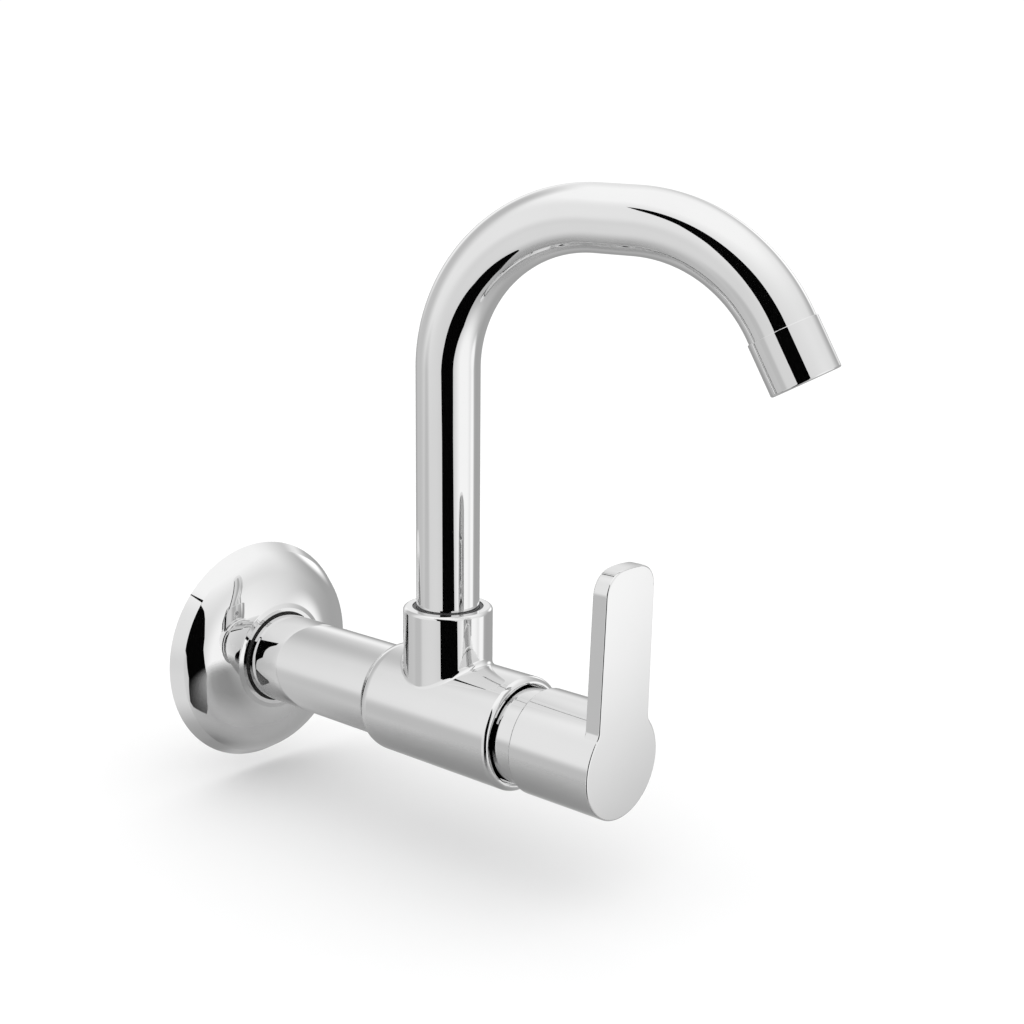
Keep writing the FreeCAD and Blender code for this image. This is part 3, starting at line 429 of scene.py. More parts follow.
class Skin:
    """A surface gathered face by face, with one vertex at each place and each corner's own normal."""

    def __init__(self, seat=Matrix.Identity(4)):
        self.seat = seat
        self.turn = seat.to_3x3()
        self.places = {}
        self.points = []
        self.faces = []
        self.normals = []

    def vertex(self, point):
        key = tuple(round(value / merge_distance) for value in point)
        if key not in self.places:
            self.places[key] = len(self.points)
            self.points.append(tuple(self.seat @ point))
        return self.places[key]

    def face(self, corners):
        """One face from its (point, normal) corners, turned to face the way that they do."""
        seen = []
        kept = []
        for point, normal in corners:
            index = self.vertex(point)
            if index not in seen:
                seen.append(index)
                kept.append((index, point, normal))
        if len(kept) < 3:
            return
        if len(kept) == 4:
            across = (kept[2][1] - kept[0][1]).cross(kept[3][1] - kept[1][1])
        else:
            across = (kept[1][1] - kept[0][1]).cross(kept[2][1] - kept[0][1])
        if across.dot(sum((normal for _, _, normal in kept), Vector((0, 0, 0)))) < 0:
            kept.reverse()
        self.faces.append([index for index, _, _ in kept])
        self.normals += [tuple((self.turn @ normal).normalized()) for _, _, normal in kept]

    def strip(self, first, second):
        """Four-sided faces between two closed rows of corners."""
        for index in range(len(first)):
            after = (index + 1) % len(first)
            self.face([first[index], first[after], second[after], second[index]])

    def finish(self, name):
        mesh = bpy.data.meshes.new(name)
        mesh.from_pydata(self.points, [], self.faces)
        shade_smooth(mesh)
        mesh.normals_split_custom_set(self.normals)
        mesh.update()
        return add_object(name, mesh)


# Seat for pieces drawn about their own Z and stood out of the wall.
wall_seat = Matrix(((1, 0, 0, 0), (0, 0, -1, 0), (0, 1, 0, 0), (0, 0, 0, 1)))


def straight(start, end):
    """Span of an outline; the outside lies on its right."""
    along = (end - start).normalized()
    normal = Vector((along.y, -along.x))
    return [(start, normal), (end, normal)]


def rounded(centre, start, end, hollow=False):
    """Round span from start to end about a centre, the short way."""
    first = math.atan2(start.y - centre.y, start.x - centre.x)
    last = math.atan2(end.y - centre.y, end.x - centre.x)
    turn = (last - first + math.pi) % (2 * math.pi) - math.pi
    radius = (start - centre).length
    steps = max(2, math.ceil(abs(turn) / round_step))
    span = []
    for step in range(steps + 1):
        angle = first + turn * step / steps
        way = Vector((math.cos(angle), math.sin(angle)))
        span.append((centre + way * radius, -way if hollow else way))
    return span


def outline(corners, closed=True):
    """Spans through (radius, height) or (radius, height, round) corners."""
    points = [Vector(corner[:2]) for corner in corners]
    rounds = [corner[2] if len(corner) > 2 else 0 for corner in corners]
    bends = []
    for index, point in enumerate(points):
        if rounds[index] == 0:
            bends.append((point, None, point))
            continue
        back = (points[index - 1] - point).normalized()
        ahead = (points[(index + 1) % len(points)] - point).normalized()
        half = back.angle(ahead) / 2
        reach = rounds[index] / math.tan(half)
        centre = point + (back + ahead).normalized() * (rounds[index] / math.sin(half))
        bends.append((point + back * reach, centre, point + ahead * reach))
    spans = []
    for index, (start, centre, end) in enumerate(bends):
        if centre is not None:
            way_in = start - points[index - 1]
            hollow = way_in.x * (end - start).y - way_in.y * (end - start).x < 0
            spans.append(rounded(centre, start, end, hollow))
        if closed or index < len(bends) - 1:
            spans.append(straight(end, bends[(index + 1) % len(bends)][0]))
    return spans


def revolve(skin, spans, sides):
    """Turns the spans of an outline about the skin's own Z."""
    for span in spans:
        rows = []
        for point, normal in span:
            row = []
            for number in range(sides):
                angle = 2 * math.pi * number / sides
                across = Vector((math.cos(angle), math.sin(angle), 0))
                row.append((across * point.x + Vector((0, 0, point.y)),
                            across * normal.x + Vector((0, 0, normal.y))))
            rows.append(row)
        for first, second in zip(rows, rows[1:]):
            skin.strip(first, second)


def meet(start, end, offset, centre, reach):
    """Point beside the line from start to end, offset to its right, at a reach from a centre."""
    along = (end - start).normalized()
    base = start + Vector((along.y, -along.x)) * offset - centre
    middle = -base.dot(along)
    half = math.sqrt(middle * middle - base.dot(base) + reach * reach)
    options = [centre + base + along * (middle + half), centre + base + along * (middle - half)]
    return min(options, key=lambda point: (point - end).length)


def bulged(start, end, bulge):
    """Centre and radius of the arc that stands out by bulge to the right of its chord."""
    chord = end - start
    side = Vector((chord.y, -chord.x)).normalized()
    radius = (chord.length ** 2 / 4 + bulge ** 2) / (2 * bulge)
    return (start + end) / 2 + side * (bulge - radius), radius


def arriving(start, end, way):
    """Bulge of the arc from start to end that arrives along the given way."""
    chord = end - start
    return chord.length / 2 * math.tan(chord.angle(way) / 2)


def make_wall_flange():
    """Flange: rim band, round shoulder, domed face, hollow blend, short collar; the same inside."""
    hole = leg_radius + flange_seal_wall
    lip = hole + flange_lip_wall
    top = flange_collar_start + flange_collar_height
    foot = Vector((flange_radius, 0))
    rim = Vector((flange_rim_radius, flange_rim_depth))
    shoulder = Vector((flange_shoulder_radius, flange_shoulder_depth))
    root = Vector((flange_collar_radius, flange_collar_start))
    lip_corner = Vector((lip, top))
    dome_centre, dome_radius = bulged(shoulder, root, flange_dome_bulge)
    outward = (shoulder - dome_centre).normalized()
    way = Vector((-outward.y, outward.x))
    shoulder_centre, shoulder_radius = bulged(rim, shoulder, arriving(rim, shoulder, way))
    rim_centre = meet(foot, rim, -flange_rim_round, shoulder_centre, shoulder_radius - flange_rim_round)
    blend_centre = meet(lip_corner, root, -flange_collar_blend, dome_centre,
                        dome_radius + flange_collar_blend)

    def foot_of(point, start, end):
        along = (end - start).normalized()
        return start + along * (point - start).dot(along)

    def on_arc(centre, radius, point):
        return centre + (point - centre).normalized() * radius

    rim_start = foot_of(rim_centre, foot, rim)
    rim_end = on_arc(shoulder_centre, shoulder_radius, rim_centre)
    blend_start = on_arc(dome_centre, dome_radius, blend_centre)
    blend_end = foot_of(blend_centre, lip_corner, root)
    lip_round = flange_lip_round_share * flange_lip_wall
    inner_root = Vector((flange_collar_radius - flange_wall, flange_collar_start - flange_wall))
    inner_shoulder = shoulder - outward * flange_wall
    inner_rim = Vector((flange_rim_radius - flange_wall, flange_rim_depth - flange_wall / 2))
    inner_foot = Vector((flange_radius - flange_wall, 0))
    inner_bulge = arriving(inner_rim, inner_shoulder, inner_root - inner_shoulder)
    inner_centre = bulged(inner_rim, inner_shoulder, inner_bulge)[0]
    spans = [
        straight(foot, rim_start),
        rounded(rim_centre, rim_start, rim_end),
        rounded(shoulder_centre, rim_end, shoulder),
        rounded(dome_centre, shoulder, blend_start),
        rounded(blend_centre, blend_start, blend_end, hollow=True),
    ]
    spans += outline([blend_end, (lip, top, lip_round), (hole, top),
                      (hole, inner_root.y), inner_root, inner_shoulder], closed=False)
    spans.append(rounded(inner_centre, inner_shoulder, inner_rim, hollow=True))
    spans += outline([inner_rim, inner_foot, foot], closed=False)
    skin = Skin(wall_seat)
    revolve(skin, spans, turned_sides)
    return stand_for(skin.finish("wall_flange_skin"), "wall_flange")


def make_inlet_leg():
    """Inlet leg: tail at its thread's root, plain sleeve, grooved spigot."""
    spigot_end = leg_front + spigot_length
    groove = leg_front + spigot_groove_start
    groove_end = groove + spigot_groove_width
    root = tail_radius - thread_depth
    skin = Skin(wall_seat)
    revolve(skin, outline([
        (waterway_radius, -tail_length),
        (root, -tail_length, tail_edge_round),
        (root, leg_back),
        (leg_radius, leg_back, leg_edge_round),
        (leg_radius, leg_front, leg_edge_round),
        (spigot_radius, leg_front),
        (spigot_radius, groove),
        (spigot_groove_radius, groove),
        (spigot_groove_radius, groove_end),
        (spigot_radius, groove_end),
        (spigot_radius, spigot_end),
        (waterway_radius, spigot_end),
    ]), turned_sides)
    return stand_for(skin.finish("inlet_leg_skin"), "inlet_leg")


def make_neck_ring():
    """Ring between body and handle, with the web that the headwork's nose stands through."""
    inside = neck_ring_radius - neck_ring_wall
    skin = Skin(wall_seat)
    revolve(skin, outline([
        (inside, neck_ring_back),
        (neck_ring_radius, neck_ring_back, neck_ring_edge_round),
        (neck_ring_radius, neck_ring_front, neck_ring_edge_round),
        (inside, neck_ring_front),
        (inside, neck_web_back + neck_ring_web),
        (neck_web_bore, neck_web_back + neck_ring_web),
        (neck_web_bore, neck_web_back),
        (inside, neck_web_back),
    ]), turned_sides)
    return stand_for(skin.finish("neck_ring_skin"), "neck_ring")


def make_spout_tube():
    """Bent tube with its bore; gives the piece and the seat at its end for what the outlet holds."""
    heading = Vector((math.sin(spout_turn), -math.cos(spout_turn), 0))
    level = Vector((math.cos(spout_turn), math.sin(spout_turn), 0))
    foot = Vector((0, -boss_out, 0))
    # Each station is a place of the middle line in the tube's own plane, and how far it has turned.
    stations = [(Vector((0, 0, tube_foot)), 0.0), (Vector((0, 0, riser_height)), 0.0)]

    def add_bend(radius, angle):
        start, turned = stations[-1]
        steps = round(angle / bend_step)
        centre = start + radius * Vector((math.cos(turned), 0, -math.sin(turned)))
        for step in range(1, steps + 1):
            now = turned + angle * step / steps
            stations.append((centre - radius * Vector((math.cos(now), 0, -math.sin(now))), now))

    def add_straight(length):
        start, turned = stations[-1]
        stations.append((start + length * Vector((math.sin(turned), 0, math.cos(turned))), turned))

    add_bend(first_bend_radius, first_bend_angle)
    add_straight(crown_length)
    add_bend(second_bend_radius, second_bend_angle)
    add_straight(outlet_length)
    skin = Skin()

    def stand(station):
        """A station's middle, the way towards the inside of the bend, and the way of the water."""
        place, turned = station
        return (foot + heading * place.x + Vector((0, 0, place.z)),
                heading * math.cos(turned) - Vector((0, 0, math.sin(turned))),
                heading * math.sin(turned) + Vector((0, 0, math.cos(turned))))

    def ring(station, radius, facing):
        middle, inwards, _ = stand(station)
        corners = []
        for number in range(tube_sides):
            angle = 2 * math.pi * number / tube_sides
            way = inwards * math.cos(angle) + level * math.sin(angle)
            corners.append((middle + way * radius, way * facing))
        return corners

    for radius, facing in ((tube_radius, 1), (tube_radius - tube_wall, -1)):
        rings = [ring(station, radius, facing) for station in stations]
        for first, second in zip(rings, rings[1:]):
            skin.strip(first, second)
    for station, facing in ((stations[0], -1), (stations[-1], 1)):
        way = stand(station)[2] * facing
        outer = [(point, way) for point, _ in ring(station, tube_radius, 1)]
        inner = [(point, way) for point, _ in ring(station, tube_radius - tube_wall, 1)]
        skin.strip(outer, inner)
    tube = stand_for(skin.finish("spout_tube_skin"), "spout_tube")
    middle, inwards, way = stand(stations[-1])
    turn = Matrix((inwards, way.cross(inwards), way)).transposed().to_4x4()
    return tube, Matrix.Translation(middle) @ turn


def make_aerator_cap(seat):
    """Cap round the end of the tube, threaded inside, with the ledge that holds the aerator."""
    skin = Skin(seat)
    thread = nipple_thread_radius + thread_clearance
    bore = aerator_body_radius + seating_clearance
    revolve(skin, outline([
        (tube_radius + seating_clearance, -cap_overlap),
        (cap_radius, -cap_overlap, cap_seam_round),
        (cap_radius, cap_mouth, cap_edge_round),
        (bore, cap_mouth, turned_edge),
        (bore, aerator_ledge),
        (thread, aerator_ledge),
        (thread, 0),
        (tube_radius + seating_clearance, 0),
    ]), tube_sides)
    return stand_for(skin.finish("aerator_cap_skin"), "aerator_cap")


def add_node(tree, kind, inputs=None, **settings):
    """A node with its settings; each input takes a value or another node's output."""
    node = tree.nodes.new(kind)
    for name, value in settings.items():
        setattr(node, name, value)
    for key, value in (inputs or {}).items():
        socket = node.inputs[key]
        if isinstance(value, bpy.types.NodeSocket):
            tree.links.new(value, socket)
        else:
            socket.default_value = value
    return node


def maths(tree, operation, *values, clamp=False):
    """Output of a maths node on values or other nodes' outputs."""
    inputs = dict(enumerate(values))
    return add_node(tree, "ShaderNodeMath", inputs, operation=operation, use_clamp=clamp).outputs[0]


def spread(tree, value, low, high, to_low=0.0, to_high=1.0, kind="LINEAR"):
    """The value's place from low to high, laid out from to_low to to_high."""
    inputs = {"Value": value, "From Min": low, "From Max": high, "To Min": to_low, "To Max": to_high}
    return add_node(tree, "ShaderNodeMapRange", inputs, interpolation_type=kind).outputs["Result"]


def noise(tree, place, scale, detail, roughness=0.5):
    inputs = {"Vector": place, "Scale": scale, "Detail": detail, "Roughness": roughness}
    return add_node(tree, "ShaderNodeTexNoise", inputs).outputs["Fac"]


def new_group(name, inputs, outputs, tree_kind="ShaderNodeTree"):
    """Node group with its sockets by name and kind; gives the tree and what it takes and gives out."""
    tree = bpy.data.node_groups.new(name, tree_kind)
    for label, kind in inputs.items():
        tree.interface.new_socket(label, in_out="INPUT", socket_type="NodeSocket" + kind)
    for label, kind in outputs.items():
        tree.interface.new_socket(label, in_out="OUTPUT", socket_type="NodeSocket" + kind)
    taken = tree.nodes.new("NodeGroupInput").outputs
    given = tree.nodes.new("NodeGroupOutput").inputs
    return tree, taken, given


# The studio that mirrors see. The room's grey goes by the elevation in degrees. Each light
# or shade has azimuth, elevation, half width and half height in degrees, softness of its edge, grey.
room_greys = {-90: 0.45, -74: 0.60, -60: 0.68, -35: 0.72, -8: 0.78, 12: 0.83, 35: 0.88, 58: 0.95, 90: 0.955}
room_lights = {
    "left light": (-118, 18, 46, 26, 0.6, 0.885),
    "lower left light": (-92, -30, 34, 24, 0.6, 0.83),
    "far left shade": (-172, 6, 26, 34, 0.6, 0.73),
    "right shade": (92, -16, 38, 46, 0.5, 0.62),
    "far right shade": (172, 34, 22, 18, 0.7, 0.71),
    "front light": (12, -12, 30, 30, 0.6, 0.95),
    "right window": (103, 14, 14, 11, 0.5, 1.0),
    "back window": (148, 12, 22, 14, 0.6, 0.96),
    "foot of the back": (165, -66, 30, 14, 0.7, 0.55),
    "shade behind": (139, -18, 28, 26, 0.6, 0.58),
    "light on the lever's face": (49, -14, 9, 12, 0.5, 0.96),
    "shade on the lever's side": (-129, -18, 11, 14, 0.5, 0.72),
}
# The black card to the left of the camera: at each elevation, the azimuths of its left and
# right edge in degrees, all seen from card_middle.
card_middle = Vector((0, -110, 90)) * mm
card_distance = 640 * mm
card_edges = {
    47: (-95, -94), 40: (-89, -65), 30: (-79, -47), 20: (-76, -39), 0: (-76, -30),
    -10: (-69, -29), -30: (-65, -18), -50: (-77, -28), -55: (-75, -31), -62: (-44, -42)}
card_columns = 12
# What mirrors see of the floor near the tap, a painted shadow of the tap and a painted reflection of the
# black card: its grey by the distance to the right of the tap's axis.
near_floor_painted_shade = {
    -120 * mm: 0.50, -50 * mm: 0.44, -20 * mm: 0.38, 0.0: 0.38, 20 * mm: 0.50, 120 * mm: 0.50}


def drawn(tree, value, spots, low, high):
    """Value read off a drawn line through the spots, both in real units; outputs lie from low to high."""
    node = tree.nodes.new("ShaderNodeFloatCurve")
    curve = node.mapping.curves[0]
    spots = sorted(spots.items())
    first, last = spots[0][0], spots[-1][0]
    while len(curve.points) < len(spots):
        curve.points.new(0.5, 0.5)
    for point, (place, result) in zip(curve.points, spots):
        point.location = ((place - first) / (last - first), (result - low) / (high - low))
        point.handle_type = "VECTOR"
    node.mapping.update()
    tree.links.new(spread(tree, value, first, last), node.inputs["Value"])
    return spread(tree, node.outputs["Value"], 0.0, 1.0, low, high)


def make_soft_light():
    """Group that lays one soft round light or shade over the room's grey."""
    inputs = ["Grey", "Azimuth", "Elevation", "Middle Azimuth", "Middle Elevation",
              "Half Width", "Half Height", "Softness", "New Grey"]
    tree, taken, given = new_group("soft light", {label: "Float" for label in inputs}, {"Grey": "Float"})
    across = maths(tree, "SUBTRACT", taken["Azimuth"], taken["Middle Azimuth"])
    across = maths(tree, "WRAP", across, 180.0, -180.0)
    across = maths(tree, "DIVIDE", across, taken["Half Width"])
    along = maths(tree, "SUBTRACT", taken["Elevation"], taken["Middle Elevation"])
    along = maths(tree, "DIVIDE", along, taken["Half Height"])
    reach = maths(tree, "SQRT", maths(tree, "ADD", maths(tree, "MULTIPLY", across, across),
                                      maths(tree, "MULTIPLY", along, along)))
    inner = maths(tree, "SUBTRACT", 1.0, taken["Softness"])
    outer = maths(tree, "ADD", 1.0, taken["Softness"])
    mask = spread(tree, reach, inner, outer, 1.0, 0.0, "SMOOTHSTEP")
    change = maths(tree, "SUBTRACT", taken["New Grey"], taken["Grey"])
    tree.links.new(maths(tree, "MULTIPLY_ADD", change, mask, taken["Grey"]), given["Grey"])
    return tree


def make_studio():
    """World: soft grey room for mirrors, even fill for the floor, plain white behind the tap."""
    world = bpy.data.worlds.new("studio")
    bpy.context.scene.world = world
    world.use_nodes = True
    tree = world.node_tree
    tree.nodes.clear()
    way = add_node(tree, "ShaderNodeTexCoord").outputs["Generated"]
    parts = add_node(tree, "ShaderNodeSeparateXYZ", {0: way}).outputs
    outward = maths(tree, "MULTIPLY", parts["Y"], -1.0)
    azimuth = maths(tree, "DEGREES", maths(tree, "ARCTAN2", parts["X"], outward))
    elevation = maths(tree, "DEGREES", maths(tree, "ARCSINE", parts["Z"]))
    grey = drawn(tree, elevation, room_greys, 0.0, brightest_grey)
    soft_light = make_soft_light()
    for label, (turn, height, width, reach, softness, new_grey) in room_lights.items():
        node = add_node(tree, "ShaderNodeGroup", None, node_tree=soft_light, label=label)
        values = {"Middle Azimuth": turn, "Middle Elevation": height, "Half Width": width,
                  "Half Height": reach, "Softness": softness, "New Grey": new_grey}
        for socket, value in values.items():
            node.inputs[socket].default_value = value
        for socket, value in (("Grey", grey), ("Azimuth", azimuth), ("Elevation", elevation)):
            tree.links.new(value, node.inputs[socket])
        grey = node.outputs["Grey"]
    light = maths(tree, "POWER", grey, display_gamma)
    light = maths(tree, "DIVIDE", light, chrome_brightness)
    path = add_node(tree, "ShaderNodeLightPath").outputs
    plain = maths(tree, "ADD", maths(tree, "MULTIPLY", path["Is Camera Ray"], backdrop_light),
                  maths(tree, "MULTIPLY", path["Is Diffuse Ray"], fill_light))
    either = maths(tree, "MAXIMUM", path["Is Camera Ray"], path["Is Diffuse Ray"])
    light = maths(tree, "MULTIPLY_ADD", light, maths(tree, "SUBTRACT", 1.0, either), plain)
    background = add_node(tree, "ShaderNodeBackground", {"Color": light, "Strength": 1.0})
    out = add_node(tree, "ShaderNodeOutputWorld")
    tree.links.new(background.outputs[0], out.inputs["Surface"])


def make_card():
    """Black card that only mirrors see, bent round the tap: rows of corners from top to bottom."""
    work = bmesh.new()
    rows = []
    for elevation, (left, right) in card_edges.items():
        height = math.radians(elevation)
        row = []
        for column in range(card_columns + 1):
            turn = math.radians(left + (right - left) * column / card_columns)
            row.append(work.verts.new(card_middle + room_way(turn, height) * card_distance))
        rows.append(row)
    for upper, lower in zip(rows, rows[1:]):
        for column in range(card_columns):
            work.faces.new((upper[column], upper[column + 1], lower[column + 1], lower[column]))
    mesh = bpy.data.meshes.new("black_card")
    work.to_mesh(mesh)
    work.free()
    card = add_object("black_card", mesh)
    card.visible_camera = card.visible_diffuse = card.visible_shadow = False
    mesh.materials.append(make_material("black_card", (0.001,) * 3, (0.002,) * 3, (0.9, 1.0),
                                        **{"Specular IOR Level": 0.0}))


def make_floor():
    """Pale floor just under the tap; mirrors see only its part near the tap, which carries painted shade,
    and past it the room.
    """
    work = bmesh.new()
    bmesh.ops.create_circle(work, cap_ends=True, segments=floor_sides, radius=floor_radius)
    mesh = bpy.data.meshes.new("floor")
    work.to_mesh(mesh)
    work.free()
    mesh.transform(Matrix.Translation((0, 0, floor_height)))
    floor = add_object("floor", mesh)
    material = bpy.data.materials.new("floor")
    material.use_nodes = True
    tree = material.node_tree
    tree.nodes.clear()
    place = add_node(tree, "ShaderNodeTexCoord").outputs["Object"]
    cloud = noise(tree, place, floor_cloud_scale, detail=3.0)
    shade = spread(tree, cloud, noise_dark, noise_light,
                   floor_grey - floor_cloud_change, floor_grey + floor_cloud_change)
    path = add_node(tree, "ShaderNodeLightPath").outputs
    across = add_node(tree, "ShaderNodeSeparateXYZ", {0: place}).outputs["X"]
    # Painted shade for glossy rays: the tap's shadow and the black card's reflection, darkest near the
    # tap's axis.
    mirrored_painted_shade = drawn(tree, across, near_floor_painted_shade, 0.0, 1.0)
    change = maths(tree, "SUBTRACT", mirrored_painted_shade, shade)
    shade = maths(tree, "MULTIPLY_ADD", change, path["Is Glossy Ray"], shade)
    colour = add_node(tree, "ShaderNodeCombineColor", {0: shade, 1: shade, 2: shade}).outputs[0]
    body = add_node(tree, "ShaderNodeBsdfDiffuse", {"Color": colour})
    clear = add_node(tree, "ShaderNodeBsdfTransparent")
    reach = add_node(tree, "ShaderNodeVectorMath", {0: place, 1: near_floor_middle},
                     operation="DISTANCE").outputs["Value"]
    far = spread(tree, reach, near_floor_radius - near_floor_fade, near_floor_radius + near_floor_fade,
                 0.0, 1.0, "SMOOTHSTEP")
    hidden = maths(tree, "MULTIPLY", path["Is Glossy Ray"], far)
    mix = add_node(tree, "ShaderNodeMixShader", {0: hidden, 1: body.outputs[0], 2: clear.outputs[0]})
    out = add_node(tree, "ShaderNodeOutputMaterial")
    tree.links.new(mix.outputs[0], out.inputs["Surface"])
    mesh.materials.append(material)


# Each slot's colour and roughness between two ends, and what else its surface has.
finishes = {
    "chrome": {"dark": (0.79, 0.79, 0.79), "light": (0.81, 0.81, 0.81), "rough": (0.012, 0.03),
               "metallic": 1.0, "patch_scale": 35.0, "grain_scale": 260.0, "relief": 0.00025 * mm},
    "brass": {"dark": (0.62, 0.42, 0.16), "light": (0.74, 0.54, 0.25), "rough": (0.22, 0.38),
              "metallic": 1.0, "relief": 0.003 * mm},
    "ceramic": {"dark": (0.86, 0.84, 0.79), "light": (0.92, 0.90, 0.86), "rough": (0.1, 0.2)},
    "rubber": {"dark": (0.018, 0.018, 0.018), "light": (0.035, 0.034, 0.033), "rough": (0.55, 0.75),
               "relief": 0.008 * mm},
    "fibre": {"dark": (0.30, 0.075, 0.05), "light": (0.42, 0.12, 0.08), "rough": (0.7, 0.9),
              "grain_scale": 900.0, "relief": 0.02 * mm},
    "acetal": {"dark": (0.035, 0.035, 0.038), "light": (0.05, 0.05, 0.053), "rough": (0.3, 0.45),
               "relief": 0.003 * mm},
    "steel": {"dark": (0.50, 0.50, 0.51), "light": (0.62, 0.62, 0.62), "rough": (0.18, 0.34),
              "metallic": 1.0, "relief": 0.002 * mm},
    "grey_plastic": {"dark": (0.47, 0.47, 0.48), "light": (0.53, 0.53, 0.54), "rough": (0.15, 0.28),
                     "relief": 0.002 * mm},
    "outlet_plastic": {"dark": (0.58, 0.59, 0.60), "light": (0.66, 0.67, 0.68), "rough": (0.3, 0.42),
                       "relief": 0.004 * mm},
}


def make_surface_wear():
    """Group with two soft noises: slow patches and fine grain, both from 0 to 1."""
    tree, taken, given = new_group(
        "surface wear", {"Place": "Vector", "Patch Scale": "Float", "Grain Scale": "Float"},
        {"Patches": "Float", "Grain": "Float"})
    patches = noise(tree, taken["Place"], taken["Patch Scale"], detail=3.0, roughness=0.55)
    grain = noise(tree, taken["Place"], taken["Grain Scale"], detail=4.0, roughness=0.6)
    tree.links.new(spread(tree, patches, noise_dark, noise_light), given["Patches"])
    tree.links.new(spread(tree, grain, 0.25, 0.75), given["Grain"])
    return tree


def make_material(slot, dark, light, rough, metallic=0.0, patch_scale=90.0, grain_scale=1600.0,
                  relief=0.0, **settings):
    """Procedural material: colour and roughness drift between two ends, with a fine relief."""
    material = bpy.data.materials.new(slot)
    material.use_nodes = True
    tree = material.node_tree
    bsdf = tree.nodes["Principled BSDF"]
    place = add_node(tree, "ShaderNodeTexCoord").outputs["Object"]
    worn = add_node(tree, "ShaderNodeGroup", None, node_tree=surface_wear)
    tree.links.new(place, worn.inputs["Place"])
    worn.inputs["Patch Scale"].default_value = patch_scale
    worn.inputs["Grain Scale"].default_value = grain_scale
    colour = add_node(tree, "ShaderNodeValToRGB", {"Fac": worn.outputs["Patches"]})
    colour.color_ramp.elements[0].color = (*dark, 1)
    colour.color_ramp.elements[1].color = (*light, 1)
    tree.links.new(colour.outputs["Color"], bsdf.inputs["Base Color"])
    both = maths(tree, "ADD", worn.outputs["Grain"], worn.outputs["Patches"])
    tree.links.new(spread(tree, both, 0.0, 2.0, *rough), bsdf.inputs["Roughness"])
    bsdf.inputs["Metallic"].default_value = metallic
    for name, value in settings.items():
        bsdf.inputs[name].default_value = value
    if relief:
        bump = add_node(tree, "ShaderNodeBump",
                        {"Height": worn.outputs["Grain"], "Distance": relief, "Strength": 1.0})
        tree.links.new(bump.outputs["Normal"], bsdf.inputs["Normal"])
    return material


def new_shape(name, inputs):
    return new_group(name, inputs, {"Geometry": "Geometry"}, "GeometryNodeTree")


def end_shape(tree, given, geometry, material):
    """Ends a geometry tree: real copies in place of instances, all in one material."""
    whole = add_node(tree, "GeometryNodeRealizeInstances", {"Geometry": geometry}).outputs[0]
    done = add_node(tree, "GeometryNodeSetMaterial", {"Geometry": whole, "Material": material})
    tree.links.new(done.outputs[0], given["Geometry"])


def grown(name, tree, values, seat):
    """Plain mesh that a geometry tree makes from the given values, put in its seat."""
    thing = add_object(name, bpy.data.meshes.new(name + "_seed"))
    maker = thing.modifiers.new("maker", "NODES")
    maker.node_group = tree
    for item in tree.interface.items_tree:
        if item.in_out == "INPUT" and item.name in values:
            maker[item.identifier] = values[item.name]
    bpy.context.view_layer.update()
    shown = thing.evaluated_get(bpy.context.evaluated_depsgraph_get())
    mesh = bpy.data.meshes.new_from_object(shown)
    mesh.name = name
    thing.modifiers.remove(maker)
    thing.data = mesh
    mesh.transform(seat)
    work = bmesh.new()
    work.from_mesh(mesh)
    bmesh.ops.remove_doubles(work, verts=work.verts, dist=merge_distance / 4)
    bmesh.ops.recalc_face_normals(work, faces=work.faces)
    work.to_mesh(mesh)
    work.free()
    shade_smooth(mesh)
    mesh.set_sharp_from_angle(angle=crease_angle)
    return thing


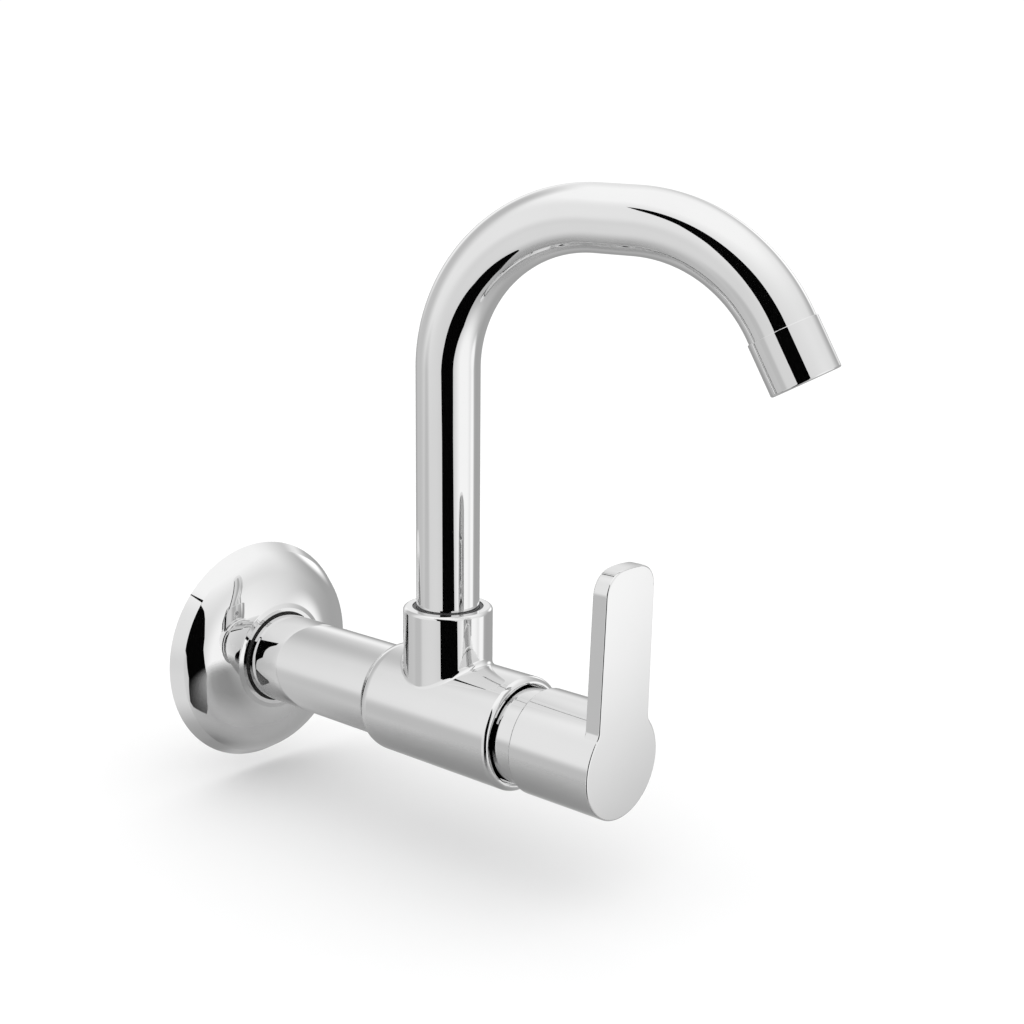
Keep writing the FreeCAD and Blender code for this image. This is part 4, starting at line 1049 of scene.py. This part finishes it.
def make_tail_thread(chrome):
    """Pipe thread round the tail: a sharp-crested strip wound in a helix that runs out at both ends."""
    tree, taken, given = new_shape("tail thread", {
        "Steps": "Int", "Turns": "Float", "Pitch": "Float", "Root Radius": "Float", "Depth": "Float",
        "Sink": "Float", "Start": "Float", "Run Out": "Float"})
    grid = add_node(tree, "GeometryNodeMeshGrid", {
        "Size X": 1.0, "Size Y": 1.0, "Vertices X": taken["Steps"], "Vertices Y": 5}).outputs["Mesh"]
    place = add_node(tree, "GeometryNodeInputPosition").outputs[0]
    spot = add_node(tree, "ShaderNodeSeparateXYZ", {0: place}).outputs
    turned = maths(tree, "MULTIPLY", maths(tree, "ADD", spot["X"], 0.5), taken["Turns"])
    # Rows 0 to 4 go once round the tooth's section: foot, crest, foot, edge sunk in the root, foot.
    row = maths(tree, "MULTIPLY", maths(tree, "ADD", spot["Y"], 0.5), 4.0)
    left = maths(tree, "SUBTRACT", taken["Turns"], turned)
    fade = maths(tree, "DIVIDE", maths(tree, "MINIMUM", turned, left), taken["Run Out"], clamp=True)
    tooth = maths(tree, "SINE", maths(tree, "MULTIPLY", row, math.pi / 2))
    crest = maths(tree, "MULTIPLY", maths(tree, "MAXIMUM", tooth, 0.0), taken["Depth"])
    sink = maths(tree, "MULTIPLY", maths(tree, "MINIMUM", tooth, 0.0), taken["Sink"])
    lift = maths(tree, "MULTIPLY", maths(tree, "ADD", crest, sink), fade)
    radius = maths(tree, "ADD", taken["Root Radius"], lift)
    flank = maths(tree, "SUBTRACT", 1.0, maths(tree, "ABSOLUTE", maths(tree, "SUBTRACT", row, 2.0)))
    flank = maths(tree, "MULTIPLY", maths(tree, "MULTIPLY", flank, fade), thread_foot_share)
    along = maths(tree, "MULTIPLY", maths(tree, "ADD", turned, flank), taken["Pitch"])
    angle = maths(tree, "MULTIPLY", turned, 2 * math.pi)
    moved = add_node(tree, "ShaderNodeCombineXYZ", {
        "X": maths(tree, "MULTIPLY", radius, maths(tree, "COSINE", angle)),
        "Y": maths(tree, "MULTIPLY", radius, maths(tree, "SINE", angle)),
        "Z": maths(tree, "ADD", taken["Start"], along)}).outputs[0]
    wound = add_node(tree, "GeometryNodeSetPosition", {"Geometry": grid, "Position": moved}).outputs[0]
    end_shape(tree, given, wound, chrome)
    turns = (tail_length - 2 * thread_end_gap) / thread_pitch
    piece = grown("tail_thread", tree, {
        "Steps": round(turns * thread_sides) + 1, "Turns": turns, "Pitch": thread_pitch,
        "Root Radius": tail_radius - thread_depth, "Depth": thread_depth, "Sink": thread_sink,
        "Start": thread_end_gap - tail_length, "Run Out": thread_run_out_turns}, wall_seat)
    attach(piece, body_of_node["inlet_leg"])


def make_gauze(seat, steel):
    """Round gauze of the aerator: two crossed layers of straight wires."""
    tree, taken, given = new_shape("gauze", {
        "Count": "Int", "Radius": "Float", "Spacing": "Float", "Wire Radius": "Float"})
    reach = maths(tree, "MULTIPLY", maths(tree, "SUBTRACT", taken["Count"], 1.0), taken["Spacing"])
    start = add_node(tree, "ShaderNodeCombineXYZ", {"X": maths(tree, "MULTIPLY", reach, -0.5)}).outputs[0]
    step = add_node(tree, "ShaderNodeCombineXYZ", {"X": taken["Spacing"]}).outputs[0]
    row = add_node(tree, "GeometryNodeMeshLine", {
        "Count": taken["Count"], "Start Location": start, "Offset": step}).outputs[0]
    wire = add_node(tree, "GeometryNodeMeshCylinder", {
        "Vertices": gauze_wire_sides, "Radius": taken["Wire Radius"], "Depth": 1.0}).outputs["Mesh"]
    place = add_node(tree, "GeometryNodeInputPosition").outputs[0]
    across = add_node(tree, "ShaderNodeSeparateXYZ", {0: place}).outputs["X"]
    room = maths(tree, "SUBTRACT", maths(tree, "MULTIPLY", taken["Radius"], taken["Radius"]),
                 maths(tree, "MULTIPLY", across, across))
    length = maths(tree, "MULTIPLY", maths(tree, "SQRT", room), 2.0)
    size = add_node(tree, "ShaderNodeCombineXYZ", {"X": 1.0, "Y": 1.0, "Z": length}).outputs[0]
    wires = add_node(tree, "GeometryNodeInstanceOnPoints", {
        "Points": row, "Instance": wire, "Rotation": (math.pi / 2, 0, 0), "Scale": size}).outputs[0]
    lift = add_node(tree, "ShaderNodeCombineXYZ", {
        "Z": maths(tree, "MULTIPLY", taken["Wire Radius"], gauze_layer_step)}).outputs[0]
    crossed = add_node(tree, "GeometryNodeTransform", {
        "Geometry": wires, "Translation": lift, "Rotation": (0, 0, math.pi / 2)}).outputs[0]
    joined = tree.nodes.new("GeometryNodeJoinGeometry")
    tree.links.new(wires, joined.inputs[0])
    tree.links.new(crossed, joined.inputs[0])
    end_shape(tree, given, joined.outputs[0], steel)
    count = 2 * math.floor((gauze_radius - gauze_wire_radius) / gauze_spacing) + 1
    middle = (aerator_end - aerator_grid_thickness - screen_thickness / 2
              - gauze_sink * gauze_wire_radius)
    piece = grown("aerator_gauze", tree, {
        "Count": count, "Radius": gauze_radius, "Spacing": gauze_spacing,
        "Wire Radius": gauze_wire_radius}, seat @ Matrix.Translation((0, 0, middle)))
    stand_for(piece, "aerator_screen")


make_camera()
make_studio()
surface_wear = make_surface_wear()
materials = {slot: make_material(slot, **finish) for slot, finish in finishes.items()}
for name, node in frame["nodes"].items():
    node.data.materials.clear()
    node.data.materials.append(materials[slot_of_node[name]])
spout_tube, outlet_seat = make_spout_tube()
chromed = [make_valve_body(), make_handle(), spout_tube, make_wall_flange(), make_inlet_leg(),
           make_neck_ring(), make_aerator_cap(outlet_seat)]
for piece in chromed:
    piece.data.materials.append(materials["chrome"])
make_tail_thread(materials["chrome"])
make_gauze(outlet_seat, materials["steel"])
make_floor()
make_card()
bpy.context.scene.view_settings.view_transform = "Standard"
